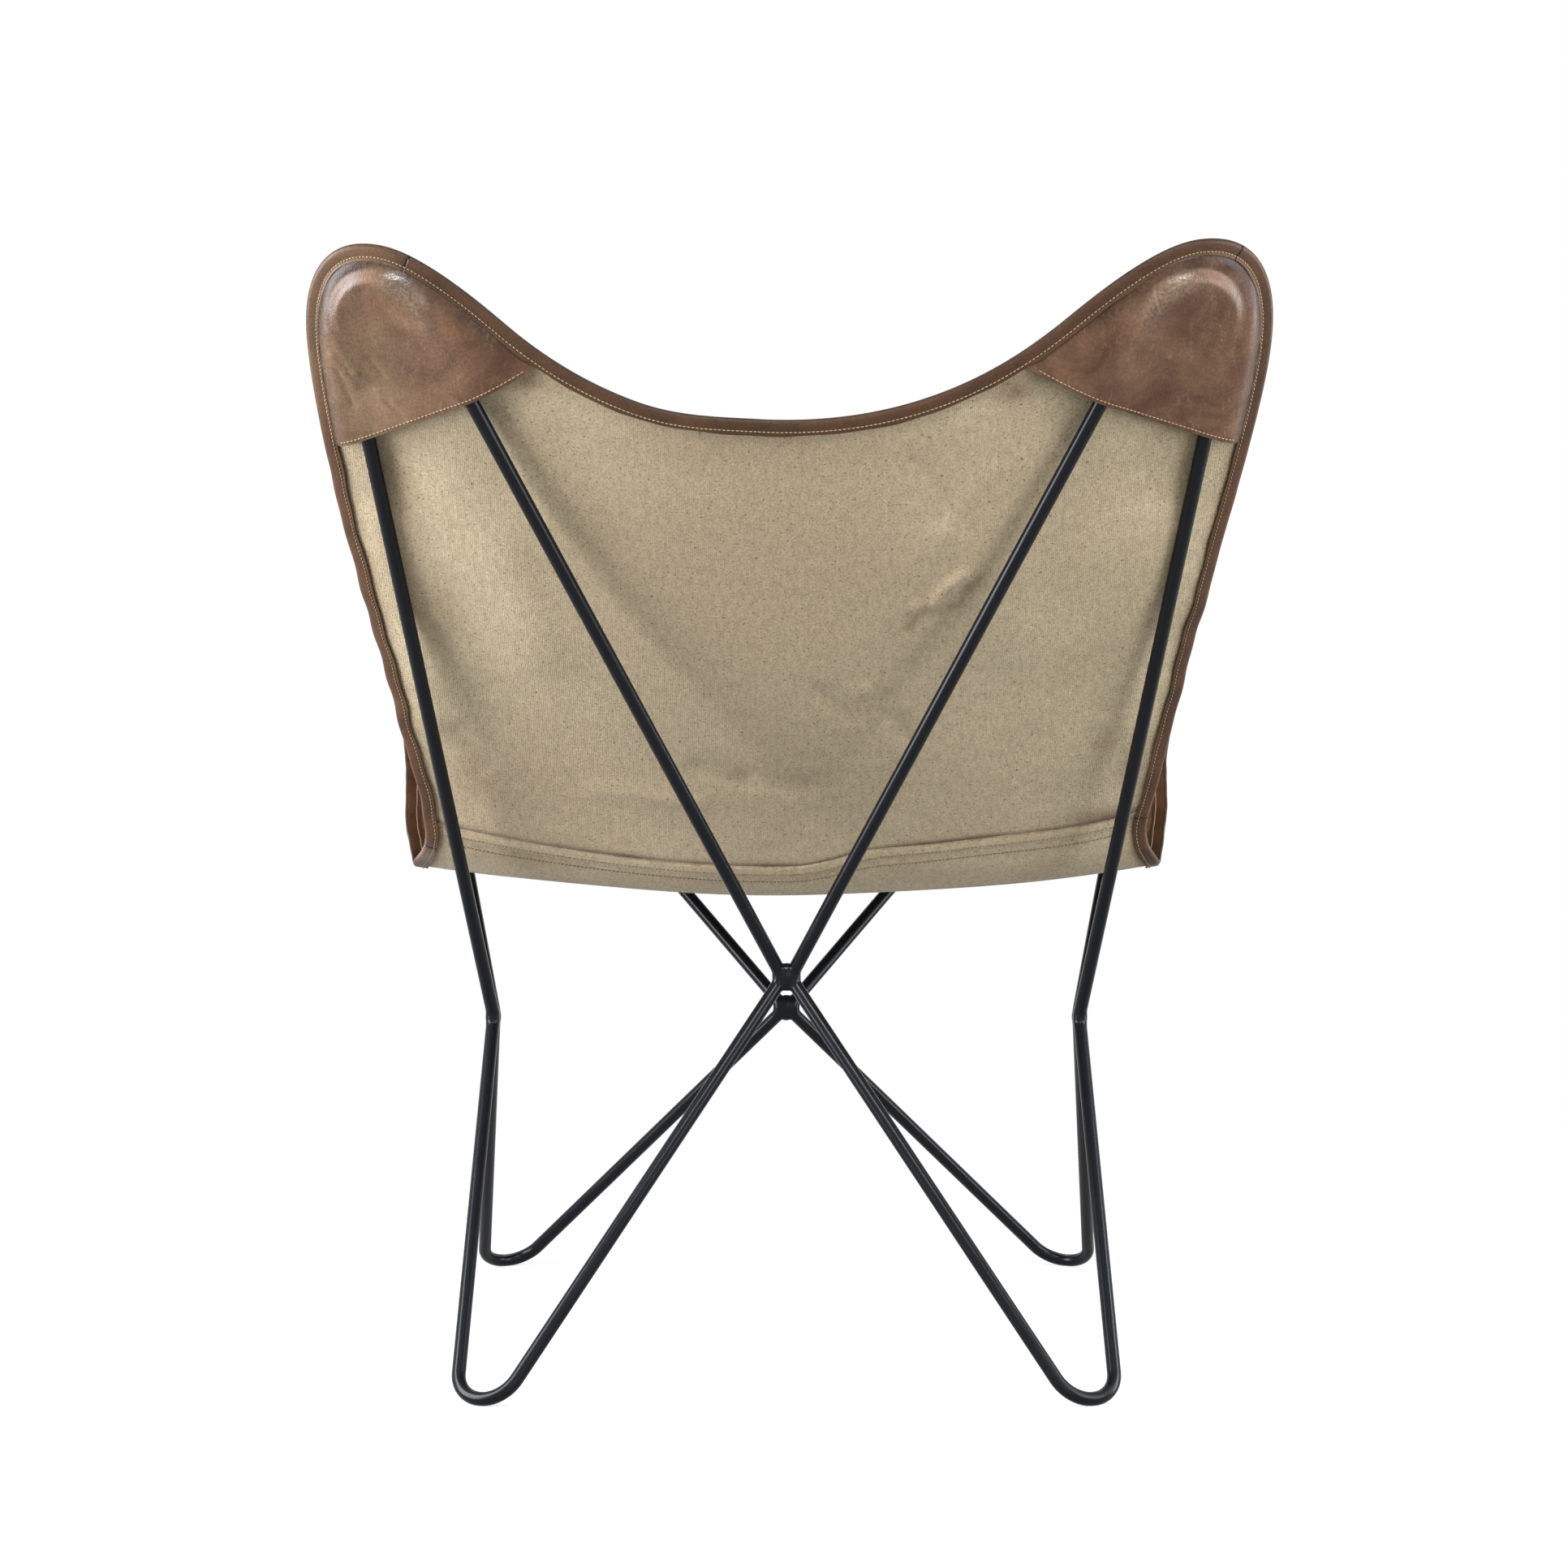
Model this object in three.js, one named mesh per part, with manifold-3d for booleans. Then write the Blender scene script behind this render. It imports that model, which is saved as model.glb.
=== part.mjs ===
// Sling chair: a welded frame of eight bent rods carries a leather sling lined with canvas.
// Millimetres, +Z up, standing on Z = 0. The sitter faces -Y and their left hand is on +X.
import * as THREE from 'three';
import { mergeVertices } from 'three/addons/utils/BufferGeometryUtils.js';
import Module from 'manifold-3d';

const wasm = await Module();
wasm.setup();

// Frame. A node is a weld where two rods run side by side; a peak or foot is given by the point
// where the two straight legs of its hairpin would meet if the bend were sharp.
const FIT_GAP = 0.3;
const ROD_R = 5.5;
const REAR_NODE = [0, 123, 312];
const FRONT_NODE = [0, -112, 255];
const SIDE_NODE = [244.5, 23, 266];
const REAR_PEAK = [351, 452, 1003];
const FRONT_PEAK = [356, -437, 628];
const REAR_FOOT = [257, 317];
const FRONT_FOOT = [280, -275];
const PEAK_BEND = 32;
const FOOT_BEND = 28;
const NODE_BEND = 8;
const NODE_STUB = 4.5;
const FOOT_FLAT = 0.6;
const WELD_ALONG = 10.2;
const WELD_THICK = 7.5;
const WELD_HIGH = 13;

// Sling. Its middle line runs down the back, round the crease and up over the seat to the front.
const LEATHER = 1.8;
const CANVAS = 1.0;
const POCKET = 1.6;
const ROD_CLEAR = 0.5;
const BACK_BEND = THREE.MathUtils.degToRad(6);
const BACK_BEND_AT = 240;
const BACK_BEND_R = 1500;
const CREASE_R = 75;
const SEAT_LOW = [53, 368.5];
const SEAT_SLOPE = THREE.MathUtils.degToRad(5);
const FRONT_BEND_R = 600;
const CREASE_BOW = 0.00025;
const BOW_BLEND = 200;

// Outline of the sling, measured on the sheet: across from the middle, and down from the peak.
const REAR_DIP = 102;
const FRONT_DIP = 92;
const SHOULDER = [204, 26];
const SHOULDER_SLOPE = 0.9;
const PEAK_TOP = [296, -28];
const HALF_WIDTH = 355;
const WIDEST_AT = 58;
const WAIST = 287.5;
const DIP_EASE = 75;
const SHOULDER_EASE = [60, 35];
const PEAK_EASE = [27, 45];
const SIDE_EASE = [45, 124];
const WAIST_EASE = 69;
const FLARE = 20;
const FLARE_FROM = 512;
const FLARE_FULL = 582;
const FLARE_UNTIL = 640;
const FLARE_END = 890;
const SEAM_END = 508;
const SEAM_SAG = 30;
const FELL_WIDTH = 11;
const FELL_END = 3;

// Edge binding and corner pockets. A joint of the binding is measured along the edge from the top
// of its peak, outwards; the pocket's hem meets the edge before the shoulder and down the side.
const BINDING = 1.3;
const BINDING_WIDTH = 12;
const EDGE_GAP = 0.8;
const LEFT_JOINT = -24;
const RIGHT_JOINT = 32;
const HEM_INNER = 36;
const HEM_OUTER = 145;
const POCKET_SLOPE = 6;

// Solids

function solidOf(geometry) {
  const bare = new THREE.BufferGeometry();
  bare.setAttribute('position', geometry.getAttribute('position'));
  bare.setIndex(geometry.index);
  const merged = mergeVertices(bare, 1e-3);
  return new wasm.Manifold(new wasm.Mesh({
    numProp: 3,
    vertProperties: merged.getAttribute('position').array,
    triVerts: merged.index.array,
  }));
}

function geometryOf(solid) {
  const mesh = solid.getMesh();
  const geometry = new THREE.BufferGeometry();
  geometry.setAttribute('position', new THREE.BufferAttribute(mesh.vertProperties, 3));
  geometry.setIndex(new THREE.BufferAttribute(mesh.triVerts, 1));
  geometry.computeVertexNormals();
  return geometry;
}

// A closed mesh from points and triangles, turned to face outwards.
function closedMesh(points, triangles) {
  let volume = 0;
  for (const [a, b, c] of triangles) {
    volume += points[a].dot(points[b].clone().cross(points[c]));
  }
  const faces = volume > 0 ? triangles : triangles.map(([a, b, c]) => [a, c, b]);
  const geometry = new THREE.BufferGeometry().setFromPoints(points);
  geometry.setIndex(faces.flat());
  geometry.computeVertexNormals();
  return geometry;
}

// Rods: a path of straights and circular bends, kept as knots so that a straight has none inside.

class KnotPath extends THREE.Curve {
  constructor(points, tangents) {
    super();
    this.points = points;
    this.tangents = tangents;
  }

  getPointAt(u) {
    return this.points[Math.round(u * (this.points.length - 1))].clone();
  }

  getTangentAt(u) {
    return this.tangents[Math.round(u * (this.points.length - 1))].clone();
  }
}

function roundedPath(corners, radii, pieces) {
  const last = corners.length - 1;
  const points = [corners[0]];
  const tangents = [corners[1].clone().sub(corners[0]).normalize()];
  for (let i = 1; i < last; i += 1) {
    const back = corners[i - 1].clone().sub(corners[i]).normalize();
    const ahead = corners[i + 1].clone().sub(corners[i]).normalize();
    const half = back.angleTo(ahead) / 2;
    const radius = radii[i - 1];
    const inward = back.clone().add(ahead).normalize();
    const centre = corners[i].clone().addScaledVector(inward, radius / Math.sin(half));
    const start = corners[i].clone().addScaledVector(back, radius / Math.tan(half)).sub(centre);
    const heading = back.clone().negate();
    for (let k = 0; k <= pieces[i - 1]; k += 1) {
      const turn = (Math.PI - 2 * half) * k / pieces[i - 1];
      const spoke = start.clone().multiplyScalar(Math.cos(turn));
      points.push(centre.clone().add(spoke).addScaledVector(heading, radius * Math.sin(turn)));
      const tangent = heading.clone().multiplyScalar(Math.cos(turn));
      tangents.push(tangent.addScaledVector(start, -Math.sin(turn) / radius).normalize());
    }
  }
  points.push(corners[last]);
  tangents.push(corners[last].clone().sub(corners[last - 1]).normalize());
  return new KnotPath(points, tangents);
}

function rodGeometry(path, radius, sides = 10) {
  const disc = new THREE.Shape().absarc(0, 0, radius, 0, 2 * Math.PI);
  return new THREE.ExtrudeGeometry(disc, {
    extrudePath: path,
    steps: path.points.length - 1,
    curveSegments: sides / 2,
  });
}

// A hairpin from one node to the next. Its ends stand upright at the nodes, half a gap from the
// ends that come from the other side; `past` carries the ends beyond that for cutting the welds.
function hairpin(side, node, corner, bend, up, past = 0) {
  const rise = up ? 1 : -1;
  const beside = ROD_R + FIT_GAP / 2;
  const middle = new THREE.Vector3(side * beside, node[1], node[2]);
  const outer = new THREE.Vector3(side * SIDE_NODE[0], SIDE_NODE[1], SIDE_NODE[2]);
  outer.y += node[1] > SIDE_NODE[1] ? beside : -beside;
  const upright = (point, length) => point.clone().setZ(point.z + rise * length);
  const tip = new THREE.Vector3(side * corner[0], corner[1], corner[2]);
  const end = FIT_GAP / 2 - past;
  const corners = [upright(middle, end), upright(middle, NODE_STUB), tip];
  corners.push(upright(outer, NODE_STUB), upright(outer, end));
  return roundedPath(corners, [NODE_BEND, bend, NODE_BEND], [3, 10, 3]);
}

// The corner of a foot drops until the bend reaches just below the floor, where it is cut flat.
function footCorner(node, place) {
  const corner = [...place, 0];
  for (let round = 0; round < 20; round += 1) {
    const path = hairpin(1, node, corner, FOOT_BEND, false);
    const lowest = Math.min(...path.points.map((point) => point.z));
    corner[2] += ROD_R - FOOT_FLAT - lowest;
  }
  return corner;
}

const floorBlock = new THREE.BoxGeometry(2000, 2000, 100).translate(0, 0, -50);

function standing(geometry) {
  return geometryOf(solidOf(geometry).subtract(solidOf(floorBlock)));
}

const rearFoot = footCorner(REAR_NODE, REAR_FOOT);
const frontFoot = footCorner(FRONT_NODE, FRONT_FOOT);
const rearPeakPath = hairpin(1, REAR_NODE, REAR_PEAK, PEAK_BEND, true);
const frontPeakPath = hairpin(1, FRONT_NODE, FRONT_PEAK, PEAK_BEND, true);
const rearUpper = rodGeometry(rearPeakPath, ROD_R);
const frontUpper = rodGeometry(frontPeakPath, ROD_R);
const rearLeg = standing(rodGeometry(hairpin(1, REAR_NODE, rearFoot, FOOT_BEND, false), ROD_R));
const frontLeg = standing(rodGeometry(hairpin(1, FRONT_NODE, frontFoot, FOOT_BEND, false), ROD_R));

// A weld is a lump between the rods of its node, with the rods and their clearance cut away.
function weld(place, size, hairpins) {
  const lump = new THREE.SphereGeometry(1, 12, 8).scale(...size).translate(...place);
  const cutRadius = (ROD_R + FIT_GAP) / Math.cos(Math.PI / 8);
  let solid = solidOf(lump);
  for (const [side, node, corner, bend, up] of hairpins) {
    const cutter = rodGeometry(hairpin(side, node, corner, bend, up, 2), cutRadius, 8);
    solid = solid.subtract(solidOf(cutter));
  }
  const pieces = solid.decompose();
  pieces.sort((a, b) => b.volume() - a.volume());
  return geometryOf(pieces[0]);
}

const rearPins = (side) => [
  [side, REAR_NODE, REAR_PEAK, PEAK_BEND, true],
  [side, REAR_NODE, rearFoot, FOOT_BEND, false],
];
const frontPins = (side) => [
  [side, FRONT_NODE, FRONT_PEAK, PEAK_BEND, true],
  [side, FRONT_NODE, frontFoot, FOOT_BEND, false],
];
const acrossWeld = [WELD_ALONG, WELD_THICK, WELD_HIGH];
const sideWeld = [WELD_THICK, WELD_ALONG, WELD_HIGH];
const rearWeld = weld(REAR_NODE, acrossWeld, [...rearPins(1), ...rearPins(-1)]);
const frontWeld = weld(FRONT_NODE, acrossWeld, [...frontPins(1), ...frontPins(-1)]);
const leftWeld = weld(SIDE_NODE, sideWeld, [...rearPins(1), ...frontPins(1)]);

// Sheet. Near each peak it lies along the plane of the hairpin there, just in front of the rods:
// that sets the slope of the middle line and how far the sheet bows forwards at its sides.

function peakPlane(path) {
  const [, , , , legA] = path.points;
  const legB = path.points[path.points.length - 5];
  const tip = path.points.reduce((a, b) => (b.z > a.z ? b : a));
  const normal = legA.clone().sub(tip).cross(legB.clone().sub(tip)).normalize();
  if (normal.z < 0) normal.negate();
  const flat = Math.hypot(normal.y, normal.z);
  const bow = -normal.x / flat / (2 * tip.x);
  const standoff = ROD_R + ROD_CLEAR + FIT_GAP + CANVAS + FIT_GAP / 2;
  const shift = standoff / flat - bow * tip.x ** 2;
  const middle = new THREE.Vector3(0, tip.y, tip.z);
  middle.addScaledVector(new THREE.Vector3(0, normal.y / flat, normal.z / flat), shift);
  return { tip, normal, bow, middle };
}

function meeting(a, alongA, b, alongB) {
  const gap = b.clone().sub(a);
  const turn = alongA.y * alongB.z - alongA.z * alongB.y;
  const distance = (gap.y * alongB.z - gap.z * alongB.y) / turn;
  return a.clone().addScaledVector(alongA, distance);
}

const rearPlane = peakPlane(rearPeakPath);
const frontPlane = peakPlane(frontPeakPath);
const recline = Math.atan2(rearPlane.normal.z, -rearPlane.normal.y);
const frontRise = Math.atan2(frontPlane.normal.y, frontPlane.normal.z);
const backWay = new THREE.Vector3(0, -Math.sin(recline), -Math.cos(recline));
const lowBackWay = new THREE.Vector3(
  0,
  -Math.sin(recline + BACK_BEND),
  -Math.cos(recline + BACK_BEND),
);
const seatWay = new THREE.Vector3(0, -Math.cos(SEAT_SLOPE), Math.sin(SEAT_SLOPE));
const frontWay = new THREE.Vector3(0, -Math.cos(frontRise), Math.sin(frontRise));
const OVERRUN = 60;
const backBend = rearPlane.middle.clone().addScaledVector(backWay, BACK_BEND_AT);
const seatPoint = new THREE.Vector3(0, ...SEAT_LOW);
const profile = roundedPath(
  [
    rearPlane.middle.clone().addScaledVector(backWay, -OVERRUN),
    backBend,
    meeting(backBend, lowBackWay, seatPoint, seatWay),
    meeting(seatPoint, seatWay, frontPlane.middle, frontWay),
    frontPlane.middle.clone().addScaledVector(frontWay, OVERRUN),
  ],
  [BACK_BEND_R, CREASE_R, FRONT_BEND_R],
  [24, 24, 24],
);
const reach = [-OVERRUN];
for (let i = 1; i < profile.points.length; i += 1) {
  reach.push(reach[i - 1] + profile.points[i].distanceTo(profile.points[i - 1]));
}
const FRONT_T = reach[reach.length - 1] - OVERRUN;
const CREASE_T = (reach[26] + reach[50]) / 2;

function bowAt(t) {
  const end = t < CREASE_T ? rearPlane.bow : frontPlane.bow;
  const blend = THREE.MathUtils.smoothstep(Math.abs(t - CREASE_T), 0, BOW_BLEND);
  return THREE.MathUtils.lerp(CREASE_BOW, end, blend);
}

// Point of the sheet at x across and t along, h above its middle on the sitter's side.
function sheetPoint(x, t, h) {
  let i = 1;
  while (i < reach.length - 1 && reach[i] < t) i += 1;
  const share = (t - reach[i - 1]) / (reach[i] - reach[i - 1]);
  const base = profile.points[i - 1].clone().lerp(profile.points[i], share);
  const way = profile.tangents[i - 1].clone().lerp(profile.tangents[i], share).normalize();
  const up = new THREE.Vector3(0, way.z, -way.y);
  const bow = bowAt(t);
  base.addScaledVector(up, bow * x * x);
  base.x = x;
  const normal = up.setX(-2 * bow * x).normalize();
  return { point: base.clone().addScaledVector(normal, h), normal };
}

// Outline of half the sling, from the middle of an end round the peak and down the side.

function halfEdge(dip, length) {
  const [shoulderX, shoulderT] = SHOULDER;
  const [peakX, peakT] = PEAK_TOP;
  const edge = new THREE.Path().moveTo(0, dip);
  const near = [shoulderX - SHOULDER_EASE[0], shoulderT + SHOULDER_EASE[0] * SHOULDER_SLOPE];
  const far = [shoulderX + SHOULDER_EASE[1], shoulderT - SHOULDER_EASE[1] * SHOULDER_SLOPE];
  const [above, below] = [WIDEST_AT - SIDE_EASE[0], WIDEST_AT + SIDE_EASE[1]];
  edge.bezierCurveTo(DIP_EASE, dip, ...near, shoulderX, shoulderT);
  edge.bezierCurveTo(...far, peakX - PEAK_EASE[0], peakT, peakX, peakT);
  edge.bezierCurveTo(peakX + PEAK_EASE[1], peakT, HALF_WIDTH, above, HALF_WIDTH, WIDEST_AT);
  edge.bezierCurveTo(HALF_WIDTH, below, WAIST, length - WAIST_EASE, WAIST, length);
  return edge.curves;
}

const rearEdge = halfEdge(REAR_DIP, CREASE_T);
const frontEdge = halfEdge(FRONT_DIP, FRONT_T - CREASE_T);

// Below the seam the sides flare out again to the crease, and ease back along the seat.
function flareAt(t) {
  const { smoothstep } = THREE.MathUtils;
  return FLARE * smoothstep(t, FLARE_FROM, FLARE_FULL) * (1 - smoothstep(t, FLARE_UNTIL, FLARE_END));
}

// Points of one edge curve at the given shares of its length, with their inward directions.
function along(curve, shares, front = false) {
  return shares.map((u) => {
    const { x, y } = curve.getPointAt(u);
    const tangent = curve.getTangentAt(u);
    const t = front ? FRONT_T - y : y;
    const slope = (flareAt(t + 0.5) - flareAt(t - 0.5)) * (front ? -1 : 1);
    const way = new THREE.Vector2(tangent.x + slope * tangent.y, tangent.y).normalize();
    return { x: x + flareAt(t), t, nx: -way.y, nt: front ? -way.x : way.x };
  });
}

function steps(from, to, count) {
  return Array.from({ length: count + 1 }, (_, k) => from + (to - from) * k / count);
}

// A stretch of an edge curve keeps the same steps in every piece, so that their facets agree.
function sharedSteps(count, from, to) {
  const inside = steps(0, 1, count).filter((u) => u > from + 0.02 && u < to - 0.02);
  return [from, ...inside, to];
}

const shoulderSteps = (from = 0, to = 1) => sharedSteps(3, from, to);
const peakSteps = (from = 0, to = 1) => sharedSteps(6, from, to);

const joined = (...lists) => lists.flatMap((list, k) => (k ? list.slice(1) : list));
const mirrored = (list) => list.map((p) => ({ ...p, x: -p.x, nx: -p.nx }));
const inset = (p, d) => ({ x: p.x + p.nx * d, t: p.t + p.nt * d });
const bothSides = (list) => joined(mirrored(list).reverse(), list);

function shareAt(curve, value) {
  let low = 0;
  let high = 1;
  for (let round = 0; round < 40; round += 1) {
    const middle = (low + high) / 2;
    if (curve.getPointAt(middle).y < value) low = middle;
    else high = middle;
  }
  return low;
}

const seamShare = shareAt(rearEdge[3], SEAM_END);
const rearHemShare = shareAt(rearEdge[3], HEM_OUTER);
const frontHemShare = shareAt(frontEdge[3], HEM_OUTER);
const backSideSteps = (end) => [
  ...steps(0, rearHemShare, 2),
  ...steps(rearHemShare, end, 6).slice(1),
];
const seatSideSteps = [
  ...steps(1, 0.9, 4),
  ...steps(0.9, frontHemShare, 7).slice(1),
  ...steps(frontHemShare, 0, 2).slice(1),
];
const topHalf = joined(
  along(rearEdge[0], steps(0, 1, 4)),
  along(rearEdge[1], shoulderSteps()),
  along(rearEdge[2], peakSteps(0, 0.5)),
);
const backSide = joined(
  along(rearEdge[2], peakSteps(0.5, 1)),
  along(rearEdge[3], backSideSteps(seamShare)),
);
const seatSide = joined(
  along(rearEdge[3], steps(seamShare, 1, 5)),
  along(frontEdge[3], seatSideSteps, true),
  along(frontEdge[2], peakSteps(0.5, 1).reverse(), true),
);
const frontHalf = joined(
  along(frontEdge[0], steps(0, 1, 4), true),
  along(frontEdge[1], shoulderSteps(), true),
  along(frontEdge[2], peakSteps(0, 0.5), true),
);

// Panels: a grid blended from its four edges, given two faces and a rim.

const lengths = (list) => {
  const sums = [0];
  for (let k = 1; k < list.length; k += 1) {
    sums.push(sums[k - 1] + Math.hypot(list[k].x - list[k - 1].x, list[k].t - list[k - 1].t));
  }
  return sums.map((sum) => sum / sums[sums.length - 1]);
};

function blended(first, last, sideA, sideB) {
  const across = lengths(first);
  const down = lengths(sideA);
  const end = first.length - 1;
  return sideA.map((a, j) => first.map((p, i) => {
    const u = across[i];
    const v = down[j];
    const at = (key) => (1 - v) * p[key] + v * last[i][key]
      + (1 - u) * a[key] + u * sideB[j][key]
      - (1 - v) * ((1 - u) * first[0][key] + u * first[end][key])
      - v * ((1 - u) * last[0][key] + u * last[end][key]);
    return { x: at('x'), t: at('t') };
  }));
}

function slab(grid, low, high) {
  const rows = grid.length;
  const columns = grid[0].length;
  const points = [];
  for (const height of [low, high]) {
    for (const row of grid) {
      for (const p of row) points.push(sheetPoint(p.x, p.t, height(p)).point);
    }
  }
  const at = (face, j, i) => (face * rows + j) * columns + i;
  const triangles = [];
  for (let j = 0; j < rows - 1; j += 1) {
    for (let i = 0; i < columns - 1; i += 1) {
      for (const face of [0, 1]) {
        const loop = [[j, i], [j + 1, i], [j + 1, i + 1], [j, i + 1]].map((p) => at(face, ...p));
        if (face) loop.reverse();
        const plain = (i < columns / 2 - 1) === (face === 0);
        const [a, b, c, d] = plain ? loop : [...loop.slice(1), loop[0]];
        triangles.push([a, b, c], [a, c, d]);
      }
    }
  }
  const rim = [];
  for (let i = 0; i < columns; i += 1) rim.push([0, i]);
  for (let j = 1; j < rows; j += 1) rim.push([j, columns - 1]);
  for (let i = columns - 2; i >= 0; i -= 1) rim.push([rows - 1, i]);
  for (let j = rows - 2; j > 0; j -= 1) rim.push([j, 0]);
  rim.forEach(([j, i], k) => {
    const [j2, i2] = rim[(k + 1) % rim.length];
    triangles.push([at(0, j, i), at(0, j2, i2), at(1, j, i)]);
    triangles.push([at(0, j2, i2), at(1, j2, i2), at(1, j, i)]);
  });
  return closedMesh(points, triangles);
}

const panelInset = BINDING + EDGE_GAP;
const trimmed = (list) => list.map((p) => inset(p, panelInset));
const seamWidth = trimmed(backSide)[backSide.length - 1].x;
const seamPoint = (x, shift) => ({
  x,
  t: SEAM_END + SEAM_SAG * (1 - (x / seamWidth) ** 2) + shift,
});

function panelGrid(end, side, seamShift) {
  const ends = trimmed(bothSides(end));
  const seam = lengths(ends).map((u) => seamPoint((2 * u - 1) * seamWidth, seamShift));
  const left = trimmed(side);
  left[left.length - 1] = seam[seam.length - 1];
  return blended(ends, seam, mirrored(left), left);
}

const backGrid = panelGrid(topHalf, backSide, -FIT_GAP / 2);
const seatGrid = panelGrid(frontHalf, [...seatSide].reverse(), FIT_GAP / 2);
const canvasBack = -(FIT_GAP / 2 + CANVAS);
const leatherFront = FIT_GAP / 2 + LEATHER;
const leatherSlab = (grid) => slab(grid, () => FIT_GAP / 2, () => leatherFront);
const canvasSlab = (grid) => slab(grid, () => canvasBack, () => -FIT_GAP / 2);

// The crease seam is covered under the canvas by a folded strip between the two bindings.
const fellHalf = seamWidth - BINDING_WIDTH - FELL_END;
const fellColumns = Array.from({ length: 17 }, (_, k) => (k / 8 - 1) * fellHalf);
const fellGrid = [FIT_GAP, FELL_WIDTH].map((shift) => fellColumns.map((x) => seamPoint(x, shift)));
const fellTop = canvasBack - FIT_GAP;
const seamFell = slab(fellGrid, () => fellTop - CANVAS, () => fellTop);

// Binding: a strip folded round the edge, its section run along the outline.

const frontFace = leatherFront + FIT_GAP;
const rearFace = canvasBack - FIT_GAP;
const bindingSection = [
  [BINDING_WIDTH, frontFace + BINDING],
  [BINDING * 0.6, frontFace + BINDING],
  [0, frontFace],
  [0, rearFace],
  [BINDING * 0.6, rearFace - BINDING],
  [BINDING_WIDTH, rearFace - BINDING],
  [BINDING_WIDTH, rearFace],
  [BINDING, rearFace],
  [BINDING, frontFace],
  [BINDING_WIDTH, frontFace],
];

function binding(list) {
  const size = bindingSection.length;
  const points = [];
  for (const p of list) {
    for (const [depth, h] of bindingSection) {
      const q = inset(p, depth);
      points.push(sheetPoint(q.x, q.t, h).point);
    }
  }
  const triangles = [];
  for (let k = 0; k < list.length - 1; k += 1) {
    for (let s = 0; s < size; s += 1) {
      const a = k * size + s;
      const b = k * size + (s + 1) % size;
      triangles.push([a, b, a + size], [b, b + size, a + size]);
    }
  }
  const contour = bindingSection.map(([x, y]) => new THREE.Vector2(x, y));
  const turned = THREE.ShapeUtils.isClockWise(contour);
  const far = (list.length - 1) * size;
  for (const [a, b, c] of THREE.ShapeUtils.triangulateShape(contour, [])) {
    const cap = turned ? [a, b, c] : [a, c, b];
    triangles.push(cap, [cap[0] + far, cap[2] + far, cap[1] + far]);
  }
  return closedMesh(points, triangles);
}

// The end strips stop at a joint beside each peak; a side strip takes over a gap further on.
function beforeJoint(edge, joint, front) {
  const stop = joint - FIT_GAP / 2;
  const start = along(edge[0], steps(0, 1, 4), front);
  if (stop < 0) {
    const share = 1 + stop / edge[1].getLength();
    return joined(start, along(edge[1], shoulderSteps(0, share), front));
  }
  const share = stop / edge[2].getLength();
  const shoulder = along(edge[1], shoulderSteps(), front);
  return joined(start, shoulder, along(edge[2], peakSteps(0, share), front));
}

function afterJoint(edge, joint, front) {
  const start = joint + FIT_GAP / 2;
  if (start < 0) {
    const share = 1 + start / edge[1].getLength();
    const shoulder = along(edge[1], shoulderSteps(share, 1), front);
    return joined(shoulder, along(edge[2], peakSteps(), front));
  }
  return along(edge[2], peakSteps(start / edge[2].getLength(), 1), front);
}

const halfStep = FIT_GAP / 2 / rearEdge[3].getLength();
const backStrip = (joint) => joined(
  afterJoint(rearEdge, joint, false),
  along(rearEdge[3], backSideSteps(seamShare - halfStep)),
);
const seatStrip = joined(
  along(rearEdge[3], steps(seamShare + halfStep, 1, 5)),
  along(frontEdge[3], seatSideSteps, true),
  afterJoint(frontEdge, RIGHT_JOINT, true).reverse(),
);
const topStrip = joined(
  mirrored(beforeJoint(rearEdge, RIGHT_JOINT, false)).reverse(),
  beforeJoint(rearEdge, LEFT_JOINT, false),
);
const frontStrip = bothSides(beforeJoint(frontEdge, RIGHT_JOINT, true));

// Pocket: flat behind the two rods of a peak, sloping down to the canvas beside the binding.

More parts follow.
